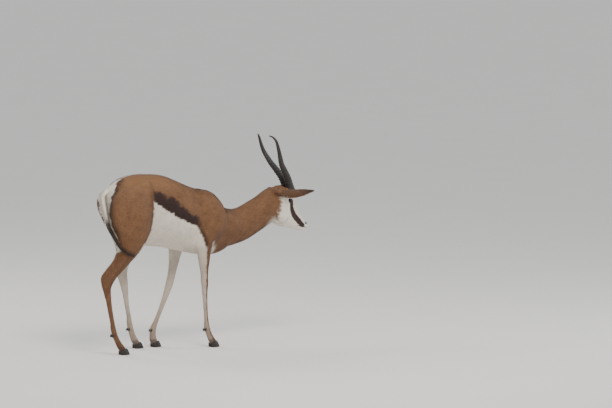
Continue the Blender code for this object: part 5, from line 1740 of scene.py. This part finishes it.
# %% [markdown]
# ## Floor, light and camera
# The model stands in a pale studio. Three large soft lamps and an even sky wrap the form
# without hard shadows. The camera stands far off, to the animal's right and a little
# behind it, and looks slightly down, so a long lens takes the same view.

# %% A pale floor
FLOOR_HALF = 60  # metres, past anything that a camera sees


def floor():
    settings = {"Roughness": 0.9, "Specular IOR Level": 0.2}
    material, shader = finish_named("matt white studio board", settings)
    place = add_node(material, "TexCoord")
    broad = {"Scale": 3.0, "Detail": 5.0}
    grain = add_node(material, "TexNoise", broad, {"Vector": place.outputs["Object"]})
    colour = add_node(material, "ValToRGB", links={"Fac": grain.outputs["Fac"]})
    colour.color_ramp.elements[0].color = linear("#E6E3DE")
    colour.color_ramp.elements[1].color = linear("#EBE8E4")
    join(material, colour.outputs["Color"], shader, "Base Color")
    corners = [(-FLOOR_HALF, -FLOOR_HALF, 0), (FLOOR_HALF, -FLOOR_HALF, 0)]
    corners += [(FLOOR_HALF, FLOOR_HALF, 0), (-FLOOR_HALF, FLOOR_HALF, 0)]
    made = mesh_object("floor", corners, [(0, 1, 2, 3)])
    made.data.materials.append(material)
    made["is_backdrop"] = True


floor()

# %% Sky and lamps
LAMPS_AIM = Vector((0.25, 0, 0.48)) + SHIFT
world = bpy.data.worlds.new("studio sky")
world.use_nodes = True
sky = world.node_tree.nodes["Background"]
sky.inputs["Color"].default_value = linear("#EEF1F4")
sky.inputs["Strength"].default_value = 0.9
bpy.context.scene.world = world


def lamp(name, place, size, power, colour):
    data = bpy.data.lights.new(name, "AREA")
    data.shape = "DISK"
    data.size = size
    data.energy = power
    data.color = linear(colour)[:3]
    made = in_scene(name, data)
    made.location = LAMPS_AIM + Vector(place)
    made.rotation_euler = (-Vector(place)).to_track_quat("-Z", "Y").to_euler()


# Name, place from what the lamps aim at, diameter in metres, watts, colour
lamp("key", (-0.6, -2.6, 3.0), 1.6, 95, "#FFF6EA")
lamp("fill", (3.2, -1.6, 1.4), 2.2, 34, "#F2F6FF")
lamp("rim", (-1.4, 2.6, 2.4), 1.6, 45, "#FFFFFF")
print("lamps set round", [round(v, 3) for v in LAMPS_AIM])

# %% Camera along the photograph's line of sight
AZIMUTH, ELEVATION = math.radians(32), math.radians(6.5)
DISTANCE, PIXELS_PER_METRE = 25.0, 210.0
ORIGIN_PIXEL, FRAME_PIXELS = (160.7, 348.7), (612, 408)
SENSOR_WIDTH = 36.0  # millimetres
level_reach = math.cos(ELEVATION)
sight = Vector((math.sin(AZIMUTH) * level_reach, math.cos(AZIMUTH) * level_reach, -math.sin(ELEVATION)))
right = Vector((math.cos(AZIMUTH), -math.sin(AZIMUTH), 0))
upward = right.cross(sight)
aim = right * ((FRAME_PIXELS[0] / 2 - ORIGIN_PIXEL[0]) / PIXELS_PER_METRE)
aim += upward * ((ORIGIN_PIXEL[1] - FRAME_PIXELS[1] / 2) / PIXELS_PER_METRE)
data = bpy.data.cameras.new("camera")
data.sensor_width = SENSOR_WIDTH
data.lens = SENSOR_WIDTH * DISTANCE / (FRAME_PIXELS[0] / PIXELS_PER_METRE)
data.clip_end = 200
camera = in_scene("camera", data)
camera.location = aim + SHIFT - sight * DISTANCE
camera.rotation_euler = sight.to_track_quat("-Z", "Y").to_euler()
bpy.context.scene.camera = camera
print("camera lens", round(data.lens, 1), "mm")

# %% [markdown]
# Last, the sizes of the box of the plain solids and of the box of the dressed model are printed one after the
# other, so that the two can be compared.

sizes = {"cad": [list(corner) for corner in solid_box], "visual": [list(corner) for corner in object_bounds()]}
for name, (lowest, highest) in sizes.items():
    print(name, [round(b - a, 4) for a, b in zip(lowest, highest)])
